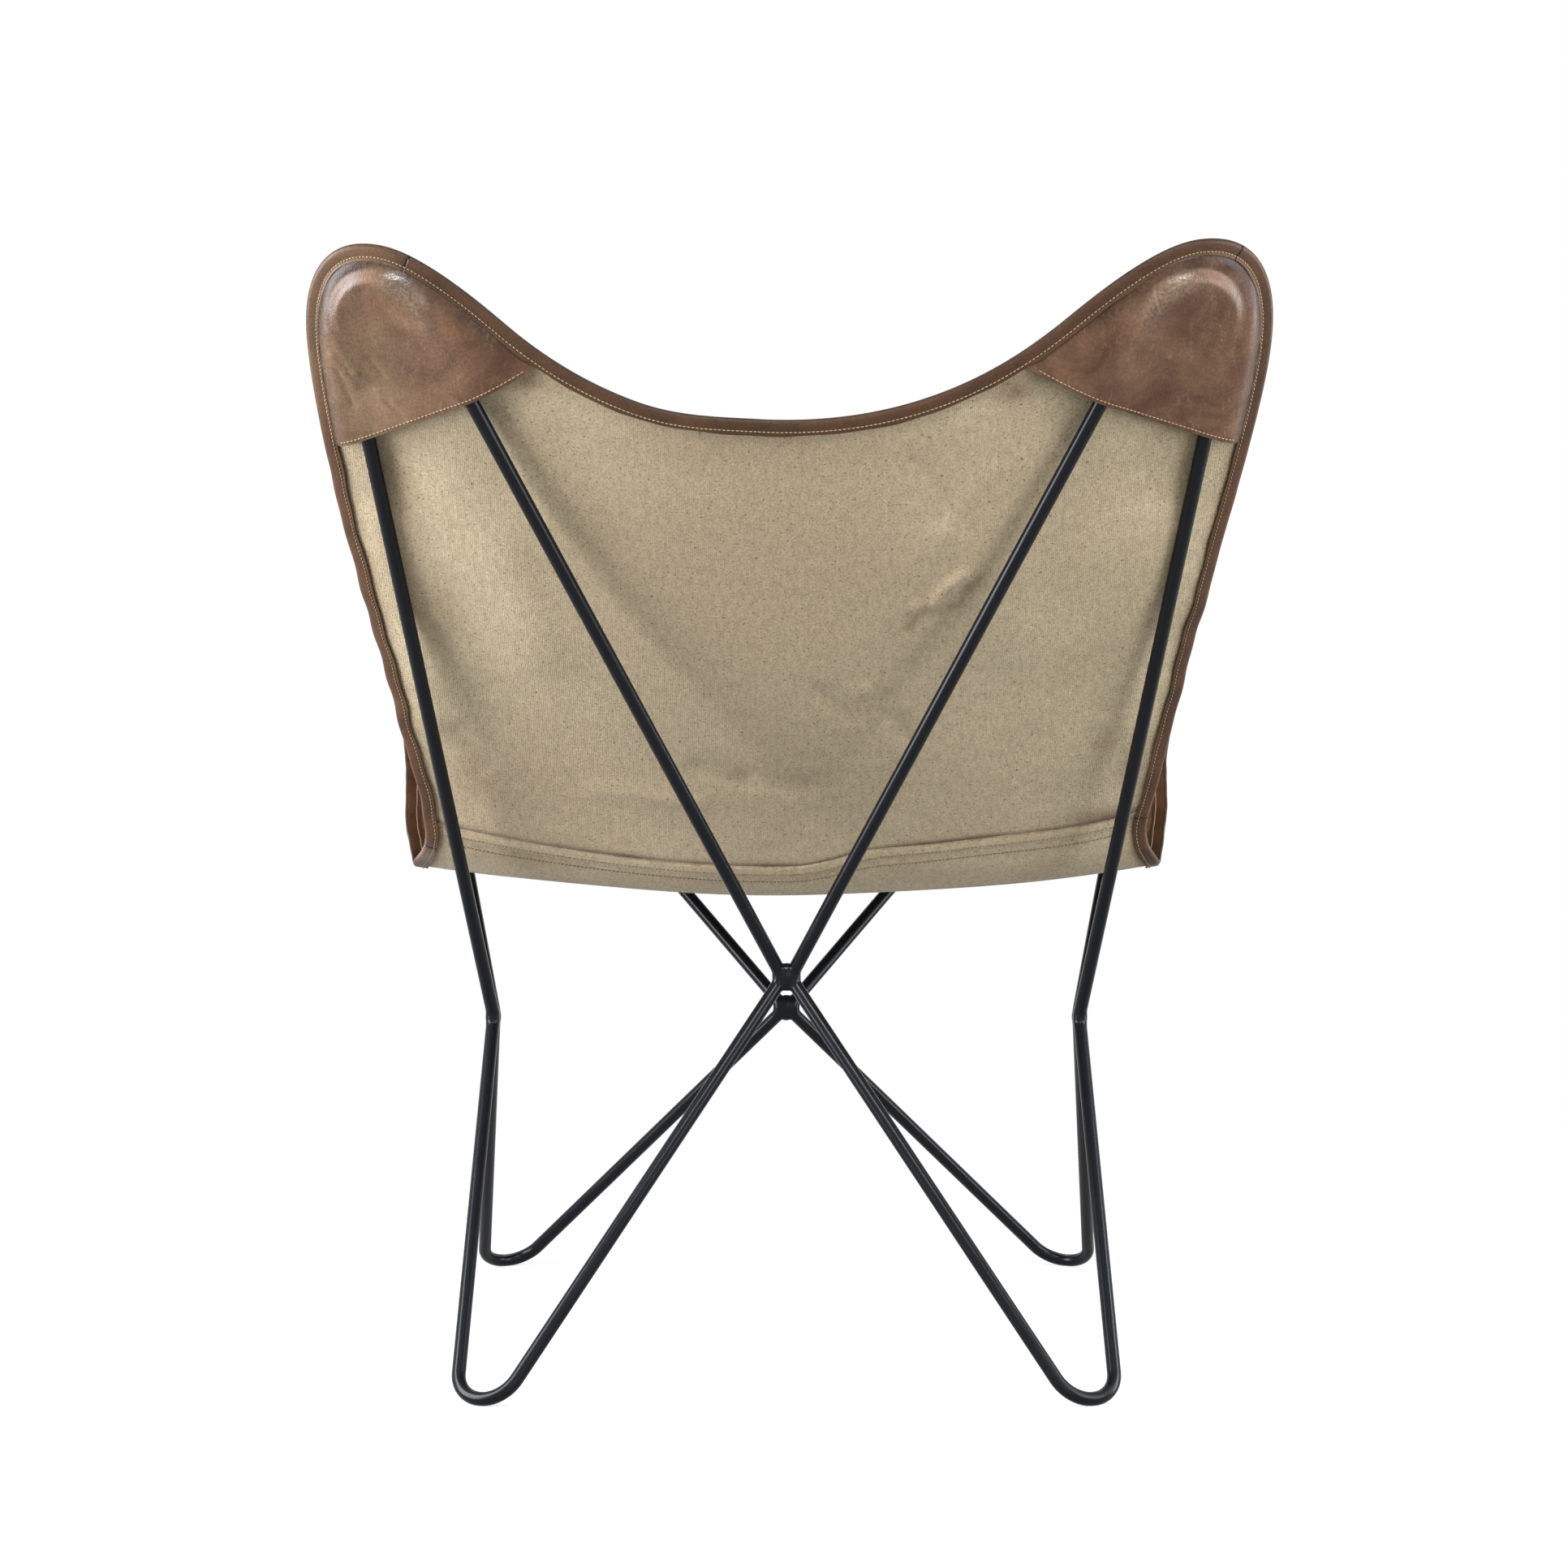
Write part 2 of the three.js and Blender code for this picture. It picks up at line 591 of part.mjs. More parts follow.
function pocket(edge, plane, hemShare, front) {
  const rim = joined(
    along(edge[0], steps(1 - HEM_INNER / edge[0].getLength(), 1, 2), front),
    along(edge[1], shoulderSteps(), front),
    along(edge[2], peakSteps(), front),
    along(edge[3], steps(0, hemShare, 2), front),
  );
  const last = rim.length - 1;
  const hemLength = Math.hypot(rim[last].x - rim[0].x, rim[last].t - rim[0].t);
  const hem = {
    nx: (rim[last].x - rim[0].x) / hemLength,
    nt: (rim[last].t - rim[0].t) / hemLength,
  };
  const seated = canvasBack - FIT_GAP;
  const behindRods = (p) => {
    const { point, normal } = sheetPoint(p.x, p.t, 0);
    const reachBack = plane.normal.dot(point.sub(plane.tip)) + ROD_R + FIT_GAP;
    return Math.min(seated, -reachBack / plane.normal.dot(normal));
  };
  const inner = rim.map((p, k) => {
    const sign = k === 0 ? 1 : -1;
    const ends = k === 0 || k === last;
    const way = ends ? { nx: hem.nx * sign, nt: hem.nt * sign } : { nx: p.nx, nt: p.nt };
    const stretch = 1 / (way.nx * p.nx + way.nt * p.nt);
    const edgeDepth = BINDING_WIDTH + FIT_GAP;
    const step = (depth) => inset({ x: p.x, t: p.t, ...way }, depth * stretch);
    return { edge: step(edgeDepth), raised: step(edgeDepth + POCKET_SLOPE) };
  });
  const from = inner[0].raised;
  const to = inner[last].raised;
  const rows = inner.map(({ edge: low, raised }, k) => {
    const share = 0.1 + 0.8 * k / last;
    const foot = {
      x: THREE.MathUtils.lerp(from.x, to.x, share),
      t: THREE.MathUtils.lerp(from.t, to.t, share),
    };
    const row = [{ ...low, h: seated }, { ...raised, h: behindRods(raised) }];
    for (const part of [1 / 3, 2 / 3, 1]) {
      const p = {
        x: THREE.MathUtils.lerp(raised.x, foot.x, part),
        t: THREE.MathUtils.lerp(raised.t, foot.t, part),
      };
      row.push({ ...p, h: behindRods(p) });
    }
    return row;
  });
  return slab(rows, (p) => p.h - POCKET, (p) => p.h);
}

const rearPocket = pocket(rearEdge, rearPlane, rearHemShare, false);
const frontPocket = pocket(frontEdge, frontPlane, frontHemShare, true);

// Assembly

const chair = new THREE.Group();
chair.name = 'sling_chair';

function add(name, geometry, color, roughness, metalness, side = 1) {
  const material = new THREE.MeshStandardMaterial({ color, roughness, metalness });
  const mesh = new THREE.Mesh(geometry, material);
  mesh.name = name;
  mesh.scale.x = side;
  chair.add(mesh);
}

const steel = (name, geometry, side) => add(name, geometry, 0x2b2c2f, 0.45, 0.3, side);
const hide = (name, geometry, side) => add(name, geometry, 0x7d5f4a, 0.5, 0, side);
const cloth = (name, geometry, side) => add(name, geometry, 0xa19278, 0.9, 0, side);
const strip = (name, geometry, side) => add(name, geometry, 0x634a3b, 0.55, 0, side);

for (const [hand, side] of [['left', 1], ['right', -1]]) {
  steel(`rear_${hand}_upper_rod`, rearUpper, side);
  steel(`front_${hand}_upper_rod`, frontUpper, side);
  steel(`rear_${hand}_leg_rod`, rearLeg, side);
  steel(`front_${hand}_leg_rod`, frontLeg, side);
  steel(`${hand}_weld`, leftWeld, side);
  hide(`rear_${hand}_pocket`, rearPocket, side);
  hide(`front_${hand}_pocket`, frontPocket, side);
  strip(`${hand}_seat_binding`, binding(seatStrip), side);
}
steel('rear_weld', rearWeld);
steel('front_weld', frontWeld);
hide('back_leather', leatherSlab(backGrid));
hide('seat_leather', leatherSlab(seatGrid));
cloth('back_canvas', canvasSlab(backGrid));
cloth('seat_canvas', canvasSlab(seatGrid));
cloth('seat_seam_fell', seamFell);
strip('top_binding', binding(topStrip));
strip('front_binding', binding(frontStrip));
strip('left_back_binding', binding(backStrip(LEFT_JOINT)));
strip('right_back_binding', binding(backStrip(RIGHT_JOINT)), -1);

export default chair;
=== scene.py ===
# Butterfly sling chair: a welded frame of bent steel bar carries a sling of leather and canvas.
# The sitter faces -Y and their left is +X. Shapes are worked out in millimetres, and put into the
# meshes in metres.
from math import radians

import bpy
import numpy as np
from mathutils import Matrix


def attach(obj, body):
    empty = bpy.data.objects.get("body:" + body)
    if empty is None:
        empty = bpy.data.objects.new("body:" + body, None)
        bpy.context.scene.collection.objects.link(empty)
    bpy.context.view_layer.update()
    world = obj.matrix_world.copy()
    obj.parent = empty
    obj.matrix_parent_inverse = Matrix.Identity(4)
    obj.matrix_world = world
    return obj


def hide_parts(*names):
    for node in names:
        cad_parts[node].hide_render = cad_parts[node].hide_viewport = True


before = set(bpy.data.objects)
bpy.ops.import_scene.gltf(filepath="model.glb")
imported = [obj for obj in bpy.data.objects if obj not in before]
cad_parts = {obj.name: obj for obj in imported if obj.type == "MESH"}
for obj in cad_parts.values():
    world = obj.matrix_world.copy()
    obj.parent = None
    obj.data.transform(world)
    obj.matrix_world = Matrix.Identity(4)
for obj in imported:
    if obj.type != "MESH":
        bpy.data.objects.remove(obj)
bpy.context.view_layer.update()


# Frame bars
# Eight hairpins of 11 mm round steel bar, each bent cold over a former. Four rise from the welds to
# the corners of the sling and four go down to the floor, where their bends are the feet.

MM = 0.001
BAR_R = 5.5
BAR_GAP = 0.3
BAR_SIDES = 28
BEND_STEPS = 24
# Places of the welds, and of the sharp corners that the bends at peaks and feet round off, on the left.
REAR_NODE = (0.0, 123.0, 312.0)
FRONT_NODE = (0.0, -112.0, 255.0)
SIDE_NODE = (244.5, 23.0, 266.0)
REAR_PEAK = (351.0, 452.0, 1003.0)
FRONT_PEAK = (356.0, -437.0, 628.0)
REAR_FOOT = (257.0, 317.0)
FRONT_FOOT = (280.0, -275.0)
PEAK_BEND = 32.0
FOOT_BEND = 28.0
NODE_BEND = 8.0
NODE_STUB = 4.5
FOOT_FLAT = 0.6
FOOT_ROUNDS = 20
HANDS = (("left", 1), ("right", -1))
# Inputs of a Mix node that mixes colours, by number because their names repeat.
SHARE, FIRST, SECOND = 0, 6, 7


def linear(code):
    """Linear RGBA of an sRGB hex colour."""
    srgb = np.array([int(code[k:k + 2], 16) for k in (1, 3, 5)]) / 255.0
    rgb = np.where(srgb <= 0.04045, srgb / 12.92, ((srgb + 0.055) / 1.055) ** 2.4)
    return (*rgb.tolist(), 1.0)


def wire(tree, made, inputs):
    """Fills a node's inputs, each with a value or with the socket that feeds it."""
    for key, value in inputs.items():
        if isinstance(value, bpy.types.NodeSocket):
            tree.links.new(value, made.inputs[key])
        else:
            made.inputs[key].default_value = value


def node(tree, kind, inputs=None, out=None, **settings):
    """Adds a shader node with its settings and inputs. Gives the output that is named, or else the
    first one in use."""
    made = tree.nodes.new("ShaderNode" + kind)
    for key, value in settings.items():
        setattr(made, key, value)
    wire(tree, made, inputs or {})
    return made.outputs[out] if out else next(socket for socket in made.outputs if socket.enabled)


def new_finish(name):
    """New material, with its tree and its Principled shader."""
    material = bpy.data.materials.new(name)
    material.use_nodes = True
    return material, material.node_tree, material.node_tree.nodes["Principled BSDF"]


def per_metre(size_mm):
    """Texture scale whose features are about size_mm across, on coordinates in metres."""
    return 1000.0 / size_mm


def unit(vectors):
    """Vectors in the same directions, each divided by its length."""
    return vectors / np.linalg.norm(vectors, axis=-1, keepdims=True)


def grid_faces(batch, rows, columns, wrap=False, capped=False, flip=False):
    """Quads of batch grids of rows by columns points. wrap joins the last column to the first, and
    capped closes the first and last rows, as on a tube."""
    index = np.arange(batch * rows * columns).reshape(batch, rows, columns)
    ring = np.concatenate([index, index[..., :1]], axis=2) if wrap else index
    quads = [ring[:, :-1, :-1], ring[:, :-1, 1:], ring[:, 1:, 1:], ring[:, 1:, :-1]]
    faces = np.stack(quads, axis=-1).reshape(-1, 4).tolist()
    if capped:
        faces += index[:, 0, ::-1].tolist() + index[:, -1].tolist()
    return [face[::-1] for face in faces] if flip else faces


def put(name, data):
    """New object of a mesh, lamp or camera, linked into the scene."""
    made = bpy.data.objects.new(name, data)
    bpy.context.scene.collection.objects.link(made)
    return made


def mesh_piece(name, points, faces, material, slot, replaces=(), uv=None, **attributes):
    """Object of points in mm and faces, riding on the chair. uv holds each point's place on the
    flat cut, and attributes are numbers at each point."""
    mesh = bpy.data.meshes.new(name)
    mesh.from_pydata((points.reshape(-1, 3) * MM).tolist(), [], faces)
    if uv is not None:
        corner = np.empty(len(mesh.loops), dtype=np.int32)
        mesh.loops.foreach_get("vertex_index", corner)
        flat = (uv.reshape(-1, 2) * MM)[corner]
        mesh.uv_layers.new(name="cut").uv.foreach_set("vector", flat.ravel())
    for key, values in attributes.items():
        spread = np.broadcast_to(values, points.shape[:-1])
        mesh.attributes.new(key, "FLOAT", "POINT").data.foreach_set("value", spread.ravel())
    mesh.shade_smooth()
    corners = np.empty(len(mesh.polygons), dtype=np.int32)
    mesh.polygons.foreach_get("loop_total", corners)
    mesh.attributes.new("sharp_face", "BOOLEAN", "FACE").data.foreach_set("value", corners > 4)
    mesh.materials.append(material)
    piece = put(name, mesh)
    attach(piece, "root")
    if replaces:
        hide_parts(*replaces)
    return piece


def rounded_path(corners, radii, steps):
    """Points and tangents of a line through corners, each inner corner turned by an arc:
    centre + spoke cos a + heading r sin a."""
    corners = [np.asarray(corner, dtype=float) for corner in corners]
    points = [corners[0][None]]
    tangents = [unit(corners[1] - corners[0])[None]]
    for before, corner, after, radius in zip(corners, corners[1:], corners[2:], radii):
        back, ahead = unit(before - corner), unit(after - corner)
        half = np.arccos(np.dot(back, ahead)) / 2
        centre = corner + unit(back + ahead) * radius / np.sin(half)
        spoke = corner + back * radius / np.tan(half) - centre
        turn = np.linspace(0, np.pi - 2 * half, steps + 1)[:, None]
        points.append(centre + spoke * np.cos(turn) - back * radius * np.sin(turn))
        tangents.append(unit(-back * np.cos(turn) - spoke / radius * np.sin(turn)))
    points.append(corners[-1][None])
    tangents.append(unit(corners[-1] - corners[-2])[None])
    return np.concatenate(points), np.concatenate(tangents)


def hairpin(side, weld, corner, bend, rise):
    """Path of one bar: upright at the middle weld, out to its peak or foot, and back to the side
    weld. rise is 1 for an upper bar and -1 for a leg."""
    beside = BAR_R + BAR_GAP / 2
    middle = np.array([side * beside, weld[1], weld[2]])
    outer = np.array([side * SIDE_NODE[0], SIDE_NODE[1], SIDE_NODE[2]])
    outer[1] += beside if weld[1] > SIDE_NODE[1] else -beside
    stub = np.array([0.0, 0.0, rise * NODE_STUB])
    tip = np.array([side * corner[0], corner[1], corner[2]])
    corners = [middle, middle + stub, tip, outer + stub, outer]
    return rounded_path(corners, [NODE_BEND, bend, NODE_BEND], BEND_STEPS)


def foot_corner(weld, place):
    """Corner of a leg, dropped until its bend stands on the floor."""
    corner = np.array([place[0], place[1], 0.0])
    for _ in range(FOOT_ROUNDS):
        path = hairpin(1, weld, corner, FOOT_BEND, -1)[0]
        corner[2] += BAR_R - FOOT_FLAT - path[:, 2].min()
    return corner


def round_angles(sides):
    """Angles of the corners of a ring."""
    return np.linspace(0, 2 * np.pi, sides, endpoint=False)


def bar_plane(path):
    """Normal of the plane that a hairpin lies in, from its bend and its two ends."""
    return unit(np.cross(path[len(path) // 2] - path[0], path[-1] - path[0]))


def bar_rings(path, tangents, across, radius, sides):
    """Rings round a path: path + r (a cos f + b sin f), with a and b square to the tangent and a
    square to across."""
    a = unit(np.cross(np.broadcast_to(across, tangents.shape), tangents))
    b = np.cross(tangents, a)
    f = round_angles(sides)[:, None]
    reach = np.reshape(radius, (-1, 1, 1))
    return path[:, None] + reach * (a[:, None] * np.cos(f) + b[:, None] * np.sin(f))


def powder_coat():
    """Satin black powder coat baked on mild steel. It gives an orange peel of about 1.5 mm, dust that
    dulls the gloss in patches, and small grey rubs where bars have knocked together."""
    material, tree, shader = new_finish("satin black powder coat")
    place = node(tree, "TexCoord", out="Object")
    peel = node(tree, "TexNoise", {"Vector": place, "Scale": per_metre(1.5), "Detail": 2.0})
    dust = node(tree, "TexNoise", {
        "Vector": place, "Scale": per_metre(30), "Detail": 5.0, "Roughness": 0.65})
    rubs = node(tree, "TexNoise", {
        "Vector": place, "Scale": per_metre(7), "Detail": 6.0, "Roughness": 0.7})
    rubbed = node(tree, "MapRange", {
        "Value": rubs, "From Min": 0.72, "From Max": 0.78}, interpolation_type="SMOOTHSTEP")
    shade = node(tree, "Mix", {
        SHARE: dust, FIRST: linear("#0b0c0f"), SECOND: linear("#111215")}, data_type="RGBA")
    worn = node(tree, "Mix", {
        SHARE: rubbed, FIRST: shade, SECOND: linear("#54524b")}, data_type="RGBA")
    gloss = node(tree, "MapRange", {
        "Value": dust, "From Min": 0.3, "From Max": 0.7, "To Min": 0.2, "To Max": 0.26})
    bump = node(tree, "Bump", {"Strength": 0.08, "Distance": 0.2 * MM, "Height": peel})
    wire(tree, shader, {
        "Base Color": worn, "Roughness": gloss, "Normal": bump, "Specular IOR Level": 0.14})
    return material


COAT = powder_coat()
BARS = {
    "rear_{}_upper_rod": (REAR_NODE, REAR_PEAK, PEAK_BEND, 1),
    "front_{}_upper_rod": (FRONT_NODE, FRONT_PEAK, PEAK_BEND, 1),
    "rear_{}_leg_rod": (REAR_NODE, foot_corner(REAR_NODE, REAR_FOOT), FOOT_BEND, -1),
    "front_{}_leg_rod": (FRONT_NODE, foot_corner(FRONT_NODE, FRONT_FOOT), FOOT_BEND, -1),
}
bar_paths = {}
for hand, side in HANDS:
    for pattern, shape in BARS.items():
        cad_node = pattern.format(hand)
        path, tangents = hairpin(side, *shape)
        bar_paths[cad_node] = path
        rings = bar_rings(path, tangents, bar_plane(path), BAR_R, BAR_SIDES)
        rings[..., 2] = np.maximum(rings[..., 2], 0.0)
        faces = grid_faces(1, len(path), BAR_SIDES, wrap=True, capped=True)
        mesh_piece(cad_node + "_bar", rings, faces, COAT, "black_powder_coat", [cad_node])


# Welds
# At each of four places two upper bars and two legs meet side by side, and a weld is run between
# them. The lump is a bead that swells over the bar ends and flows into the crotches between them.

WELD_HALF = {"middle": (9.2, 6.7, 11.5), "side": (6.7, 9.2, 11.5)}
SLEEVE_LENGTH = 20.0
SLEEVE_R = (BAR_R + 0.55, BAR_R - 0.4)
SLEEVE_SIDES = 20
BEAD_RINGS = 12
POLE_GAP = 0.06
WELD_VOXEL = 0.7
# The web between the two legs: how far down them it is, and its least half size.
WEB_AT = 9.0
WEB_HALF = 3.0
WELDS = {
    "rear_weld": (REAR_NODE, "middle", ("rear_left", "rear_right")),
    "front_weld": (FRONT_NODE, "middle", ("front_left", "front_right")),
    "left_weld": (SIDE_NODE, "side", ("rear_left", "front_left")),
    "right_weld": ((-SIDE_NODE[0], *SIDE_NODE[1:]), "side", ("rear_right", "front_right")),
}


def run_length(points):
    """Length along a line up to each of its points."""
    return np.concatenate([[0.0], np.cumsum(np.linalg.norm(np.diff(points, axis=0), axis=1))])


def line_at(points, along):
    """Points of a line at lengths along it."""
    length = run_length(points)
    return np.stack([np.interp(along, length, points[:, k]) for k in range(3)], axis=1)


def weld_sleeve(path):
    """Skin of weld metal over the start of a bar, thinning until it dips below the bar's surface."""
    along = np.linspace(0, SLEEVE_LENGTH, BEAD_RINGS)
    line = line_at(path, along)
    radius = np.interp(along, [0, SLEEVE_LENGTH], SLEEVE_R)
    return bar_rings(line, unit(np.gradient(line, axis=0)), bar_plane(path), radius, SLEEVE_SIDES)


def weld_bead(centre, half):
    """Ellipsoid as rings from its lower to its upper pole: half (sin a cos f, sin a sin f, -cos a)."""
    a = np.linspace(POLE_GAP, np.pi - POLE_GAP, BEAD_RINGS)[:, None]
    f = round_angles(SLEEVE_SIDES)
    ball = np.stack([np.sin(a) * np.cos(f), np.sin(a) * np.sin(f), -np.cos(a) + 0 * f], axis=-1)
    return np.asarray(centre) + ball * half


for cad_node, (centre, kind, pairs) in WELDS.items():
    way = -1 if kind == "side" else 1
    uppers = [bar_paths[f"{pair}_upper_rod"][::way] for pair in pairs]
    legs = [bar_paths[f"{pair}_leg_rod"][::way] for pair in pairs]
    crotch = np.concatenate([line_at(leg, [WEB_AT]) for leg in legs])
    lumps = [weld_bead(centre, WELD_HALF[kind])]
    lumps += [weld_sleeve(bar) for bar in uppers + legs]
    lumps.append(weld_bead(crotch.mean(axis=0), np.maximum(np.ptp(crotch, axis=0) / 2, WEB_HALF)))
    faces = grid_faces(len(lumps), BEAD_RINGS, SLEEVE_SIDES, wrap=True, capped=True)
    piece = mesh_piece(cad_node + "_bead", np.array(lumps), faces, COAT, "black_powder_coat", [cad_node])
    skin = piece.modifiers.new("one skin", "REMESH")
    skin.mode = "VOXEL"
    skin.voxel_size = WELD_VOXEL * MM
    skin.use_smooth_shade = True
    flow = piece.modifiers.new("flow", "SMOOTH")
    flow.factor = 0.5
    flow.iterations = 18


# Leather panels
# The sitting face is two panels of vegetable-tanned hide, 1.8 mm thick, cut to the sling's outline
# and sewn together at the crease. Their edges go into the binding.

# The sling's layers, and the bends of its middle line from the back over the crease to the front.
LEATHER = 1.8
CANVAS = 1.0
BAR_CLEAR = 0.5
FACE_GAP = BAR_GAP / 2
BAR_STANDOFF = BAR_R + BAR_CLEAR + BAR_GAP + CANVAS + FACE_GAP
BACK_BEND = radians(6)
BACK_BEND_AT = 240.0
SLING_BENDS = (1500.0, 75.0, 600.0)
SEAT_LOW = np.array([53.0, 368.5])
SEAT_SLOPE = radians(5)
OVERRUN = 60.0
CREASE_BOW = 0.00025
BOW_BLEND = 200.0
PROFILE_STEPS = 48
# Outline of the flat cut as places (x, t): x across, and t along the middle line from the rear bars.
REAR_DIP = 102.0
FRONT_DIP = 92.0
SHOULDER = (204.0, 26.0)
SHOULDER_SLOPE = 0.9
SHOULDER_EASE = (60.0, 35.0)
PEAK_TOP = (296.0, -28.0)
PEAK_EASE = (27.0, 45.0)
HALF_WIDTH = 355.0
WIDEST_AT = 58.0
SIDE_EASE = (45.0, 124.0)
WAIST = 287.5
WAIST_EASE = 69.0
DIP_EASE = 75.0
FLARE = 20.0
FLARE_RISE = (512.0, 582.0)
FLARE_FALL = (890.0, 640.0)
CURVE_STEPS = 199
PANEL_INSET = 2.1
SEAM_END = 508.0
SEAM_SAG = 30.0
SEAM_SKEW = 15.0
SEAM_GAP = 0.3
PANEL_COLUMNS = 161
PANEL_ROWS = 121
CUT_ANGLE = radians(60)
# What cutting by hand and use have done to it.
LEFT_DROP = 6.0
RIGHT_REACH = 4.5
RIGHT_TUCK = 3.0
LEFT_WAVE = 0.55
RIGHT_WAVE = 0.22
FLUTTER = 0.9
FLUTTER_REACH = 30.0
SOFT_WAVE = 1.3
# Creases that use has left in the sling: both ends (x, t), width and height, up on the sitter's side.
CREASES = (
    (-134, 240, -113, 262, 5.0, -3.5),
    (-109, 266, -95, 292, 5.5, 2.9),
    (-129, 263, -101, 271, 5.0, -3.8),
    (-140, 252, -125, 270, 6.0, 2.6),
    (-26, 350, -51, 377, 7.0, 2.1),
    (-73, 360, -97, 403, 8.0, 2.6),
    (-60, 352, -84, 372, 6.0, -1.9),
    (70, 433, 32, 444, 9.0, 2.4),
    (32, 444, -14, 452, 9.0, 2.4),
    (150, 462, 70, 470, 10.0, -1.9),
    (-96, 140, -124, 188, 7.0, 1.9),
    (-150, 150, -118, 205, 9.0, -1.8),
    (-125, 215, -165, 300, 34.0, -3.4),
    (-205, 330, -215, 430, 40.0, -2.0),
    (255, 160, 250, 230, 36.0, -2.6),
    (212, 232, 188, 318, 26.0, -2.6),
    (300, 215, 282, 400, 24.0, -4.5),
    (-282, 215, -264, 400, 24.0, -4.5),
    (168, 128, 128, 214, 18.0, 1.6),
    (-172, 122, -140, 196, 16.0, 1.5),
    (262, 300, 246, 352, 9.0, -1.4),
    (258, 415, 240, 446, 9.0, 1.8),
    (-262, 330, -250, 372, 9.0, -1.2),
    (-250, 430, -236, 470, 10.0, 1.4),
    (331, 45, 314, 76, 4.0, -0.7),
    (304, 63, 295, 76, 2.6, 0.9),
    (331, 64, 315, 87, 3.0, -0.7),
    (327, 78, 318, 104, 3.0, 0.6),
    (314, 76, 299, 89, 3.2, -0.6),
    (299, 89, 287, 97, 3.0, -0.7),
    (292, 98, 281, 112, 3.0, 0.6),
)


def ramp(value, start, stop):
    """Smooth change from 0 at start to 1 at stop, which may be the lower one: 3s^2 - 2s^3 of the
    share s of the way."""
    s = np.clip((value - start) / (stop - start), 0.0, 1.0)
    return s * s * (3 - 2 * s)


def bell(share):
    """Soft hump: 1 at 0, and exp(-s^2) away from it."""
    return np.exp(-np.square(share))


def peak_plane(path):
    """How the sling lies at a peak, along the plane of its two bars: the bend's tip, the plane's
    normal, the sheet's bow across, and the point (y, z) where its middle line starts."""
    tip = path[np.argmax(path[:, 2])]
    legs = path[BEND_STEPS + 1], path[-BEND_STEPS - 2]
    normal = unit(np.cross(legs[0] - tip, legs[1] - tip))
    normal = normal * np.sign(normal[2])
    flat = np.hypot(normal[1], normal[2])
    bow = -normal[0] / flat / (2 * tip[0])
    middle = tip[1:] + normal[1:] / flat * (BAR_STANDOFF / flat - bow * tip[0] ** 2)
    return {"tip": tip, "normal": normal, "bow": bow, "middle": middle}


def meeting(a, way_a, b, way_b):
    """Point where the line from a along way_a crosses the line from b along way_b."""
    gap = b - a
    turn = way_a[0] * way_b[1] - way_a[1] * way_b[0]
    return a + way_a * (gap[0] * way_b[1] - gap[1] * way_b[0]) / turn


REAR = peak_plane(bar_paths["rear_left_upper_rod"])
FRONT = peak_plane(bar_paths["front_left_upper_rod"])
recline = np.arctan2(REAR["normal"][2], -REAR["normal"][1])
front_rise = np.arctan2(FRONT["normal"][1], FRONT["normal"][2])
back_way = np.array([-np.sin(recline), -np.cos(recline)])
low_back_way = np.array([-np.sin(recline + BACK_BEND), -np.cos(recline + BACK_BEND)])
seat_way = np.array([-np.cos(SEAT_SLOPE), np.sin(SEAT_SLOPE)])
front_way = np.array([-np.cos(front_rise), np.sin(front_rise)])
back_bend = REAR["middle"] + BACK_BEND_AT * back_way
PROFILE, profile_way = rounded_path([
    REAR["middle"] - OVERRUN * back_way,
    back_bend,
    meeting(back_bend, low_back_way, SEAT_LOW, seat_way),
    meeting(SEAT_LOW, seat_way, FRONT["middle"], front_way),
    FRONT["middle"] + OVERRUN * front_way,
], SLING_BENDS, PROFILE_STEPS)
HEADING = np.unwrap(np.arctan2(profile_way[:, 1], profile_way[:, 0]))
REACH = run_length(PROFILE) - OVERRUN
FRONT_T = REACH[-1] - OVERRUN
# The crease is the middle of the profile's second bend.
CREASE_T = (REACH[PROFILE_STEPS + 2] + REACH[2 * PROFILE_STEPS + 2]) / 2


def quarter_outline(dip, length):
    """A quarter of the sling's edge, from the middle of an end over the shoulder and peak and down
    the side: four cubic curves, a(1-u)^3 + 3b u(1-u)^2 + 3c u^2(1-u) + d u^3. Gives the points and
    the length of edge where each curve ends."""
    shoulder_x, shoulder_t = SHOULDER
    near, far = SHOULDER_EASE
    peak_x, peak_t = PEAK_TOP
    knots = [(0, dip), (DIP_EASE, dip), (shoulder_x - near, shoulder_t + near * SHOULDER_SLOPE), SHOULDER]
    knots += [(shoulder_x + far, shoulder_t - far * SHOULDER_SLOPE), (peak_x - PEAK_EASE[0], peak_t)]
    knots += [PEAK_TOP, (peak_x + PEAK_EASE[1], peak_t), (HALF_WIDTH, WIDEST_AT - SIDE_EASE[0])]
    knots += [(HALF_WIDTH, WIDEST_AT), (HALF_WIDTH, WIDEST_AT + SIDE_EASE[1])]
    knots += [(WAIST, length - WAIST_EASE), (WAIST, length)]
    knots = np.array(knots, dtype=float)
    u = np.linspace(0, 1, CURVE_STEPS + 1)[1:, None]
    curves = [knots[:1]]
    for k in range(0, len(knots) - 1, 3):
        a, b, c, d = knots[k:k + 4]
        curves.append(a * (1 - u) ** 3 + 3 * b * u * (1 - u) ** 2 + 3 * c * u * u * (1 - u) + d * u ** 3)
    points = np.concatenate(curves)
    return points, run_length(points)[CURVE_STEPS::CURVE_STEPS]


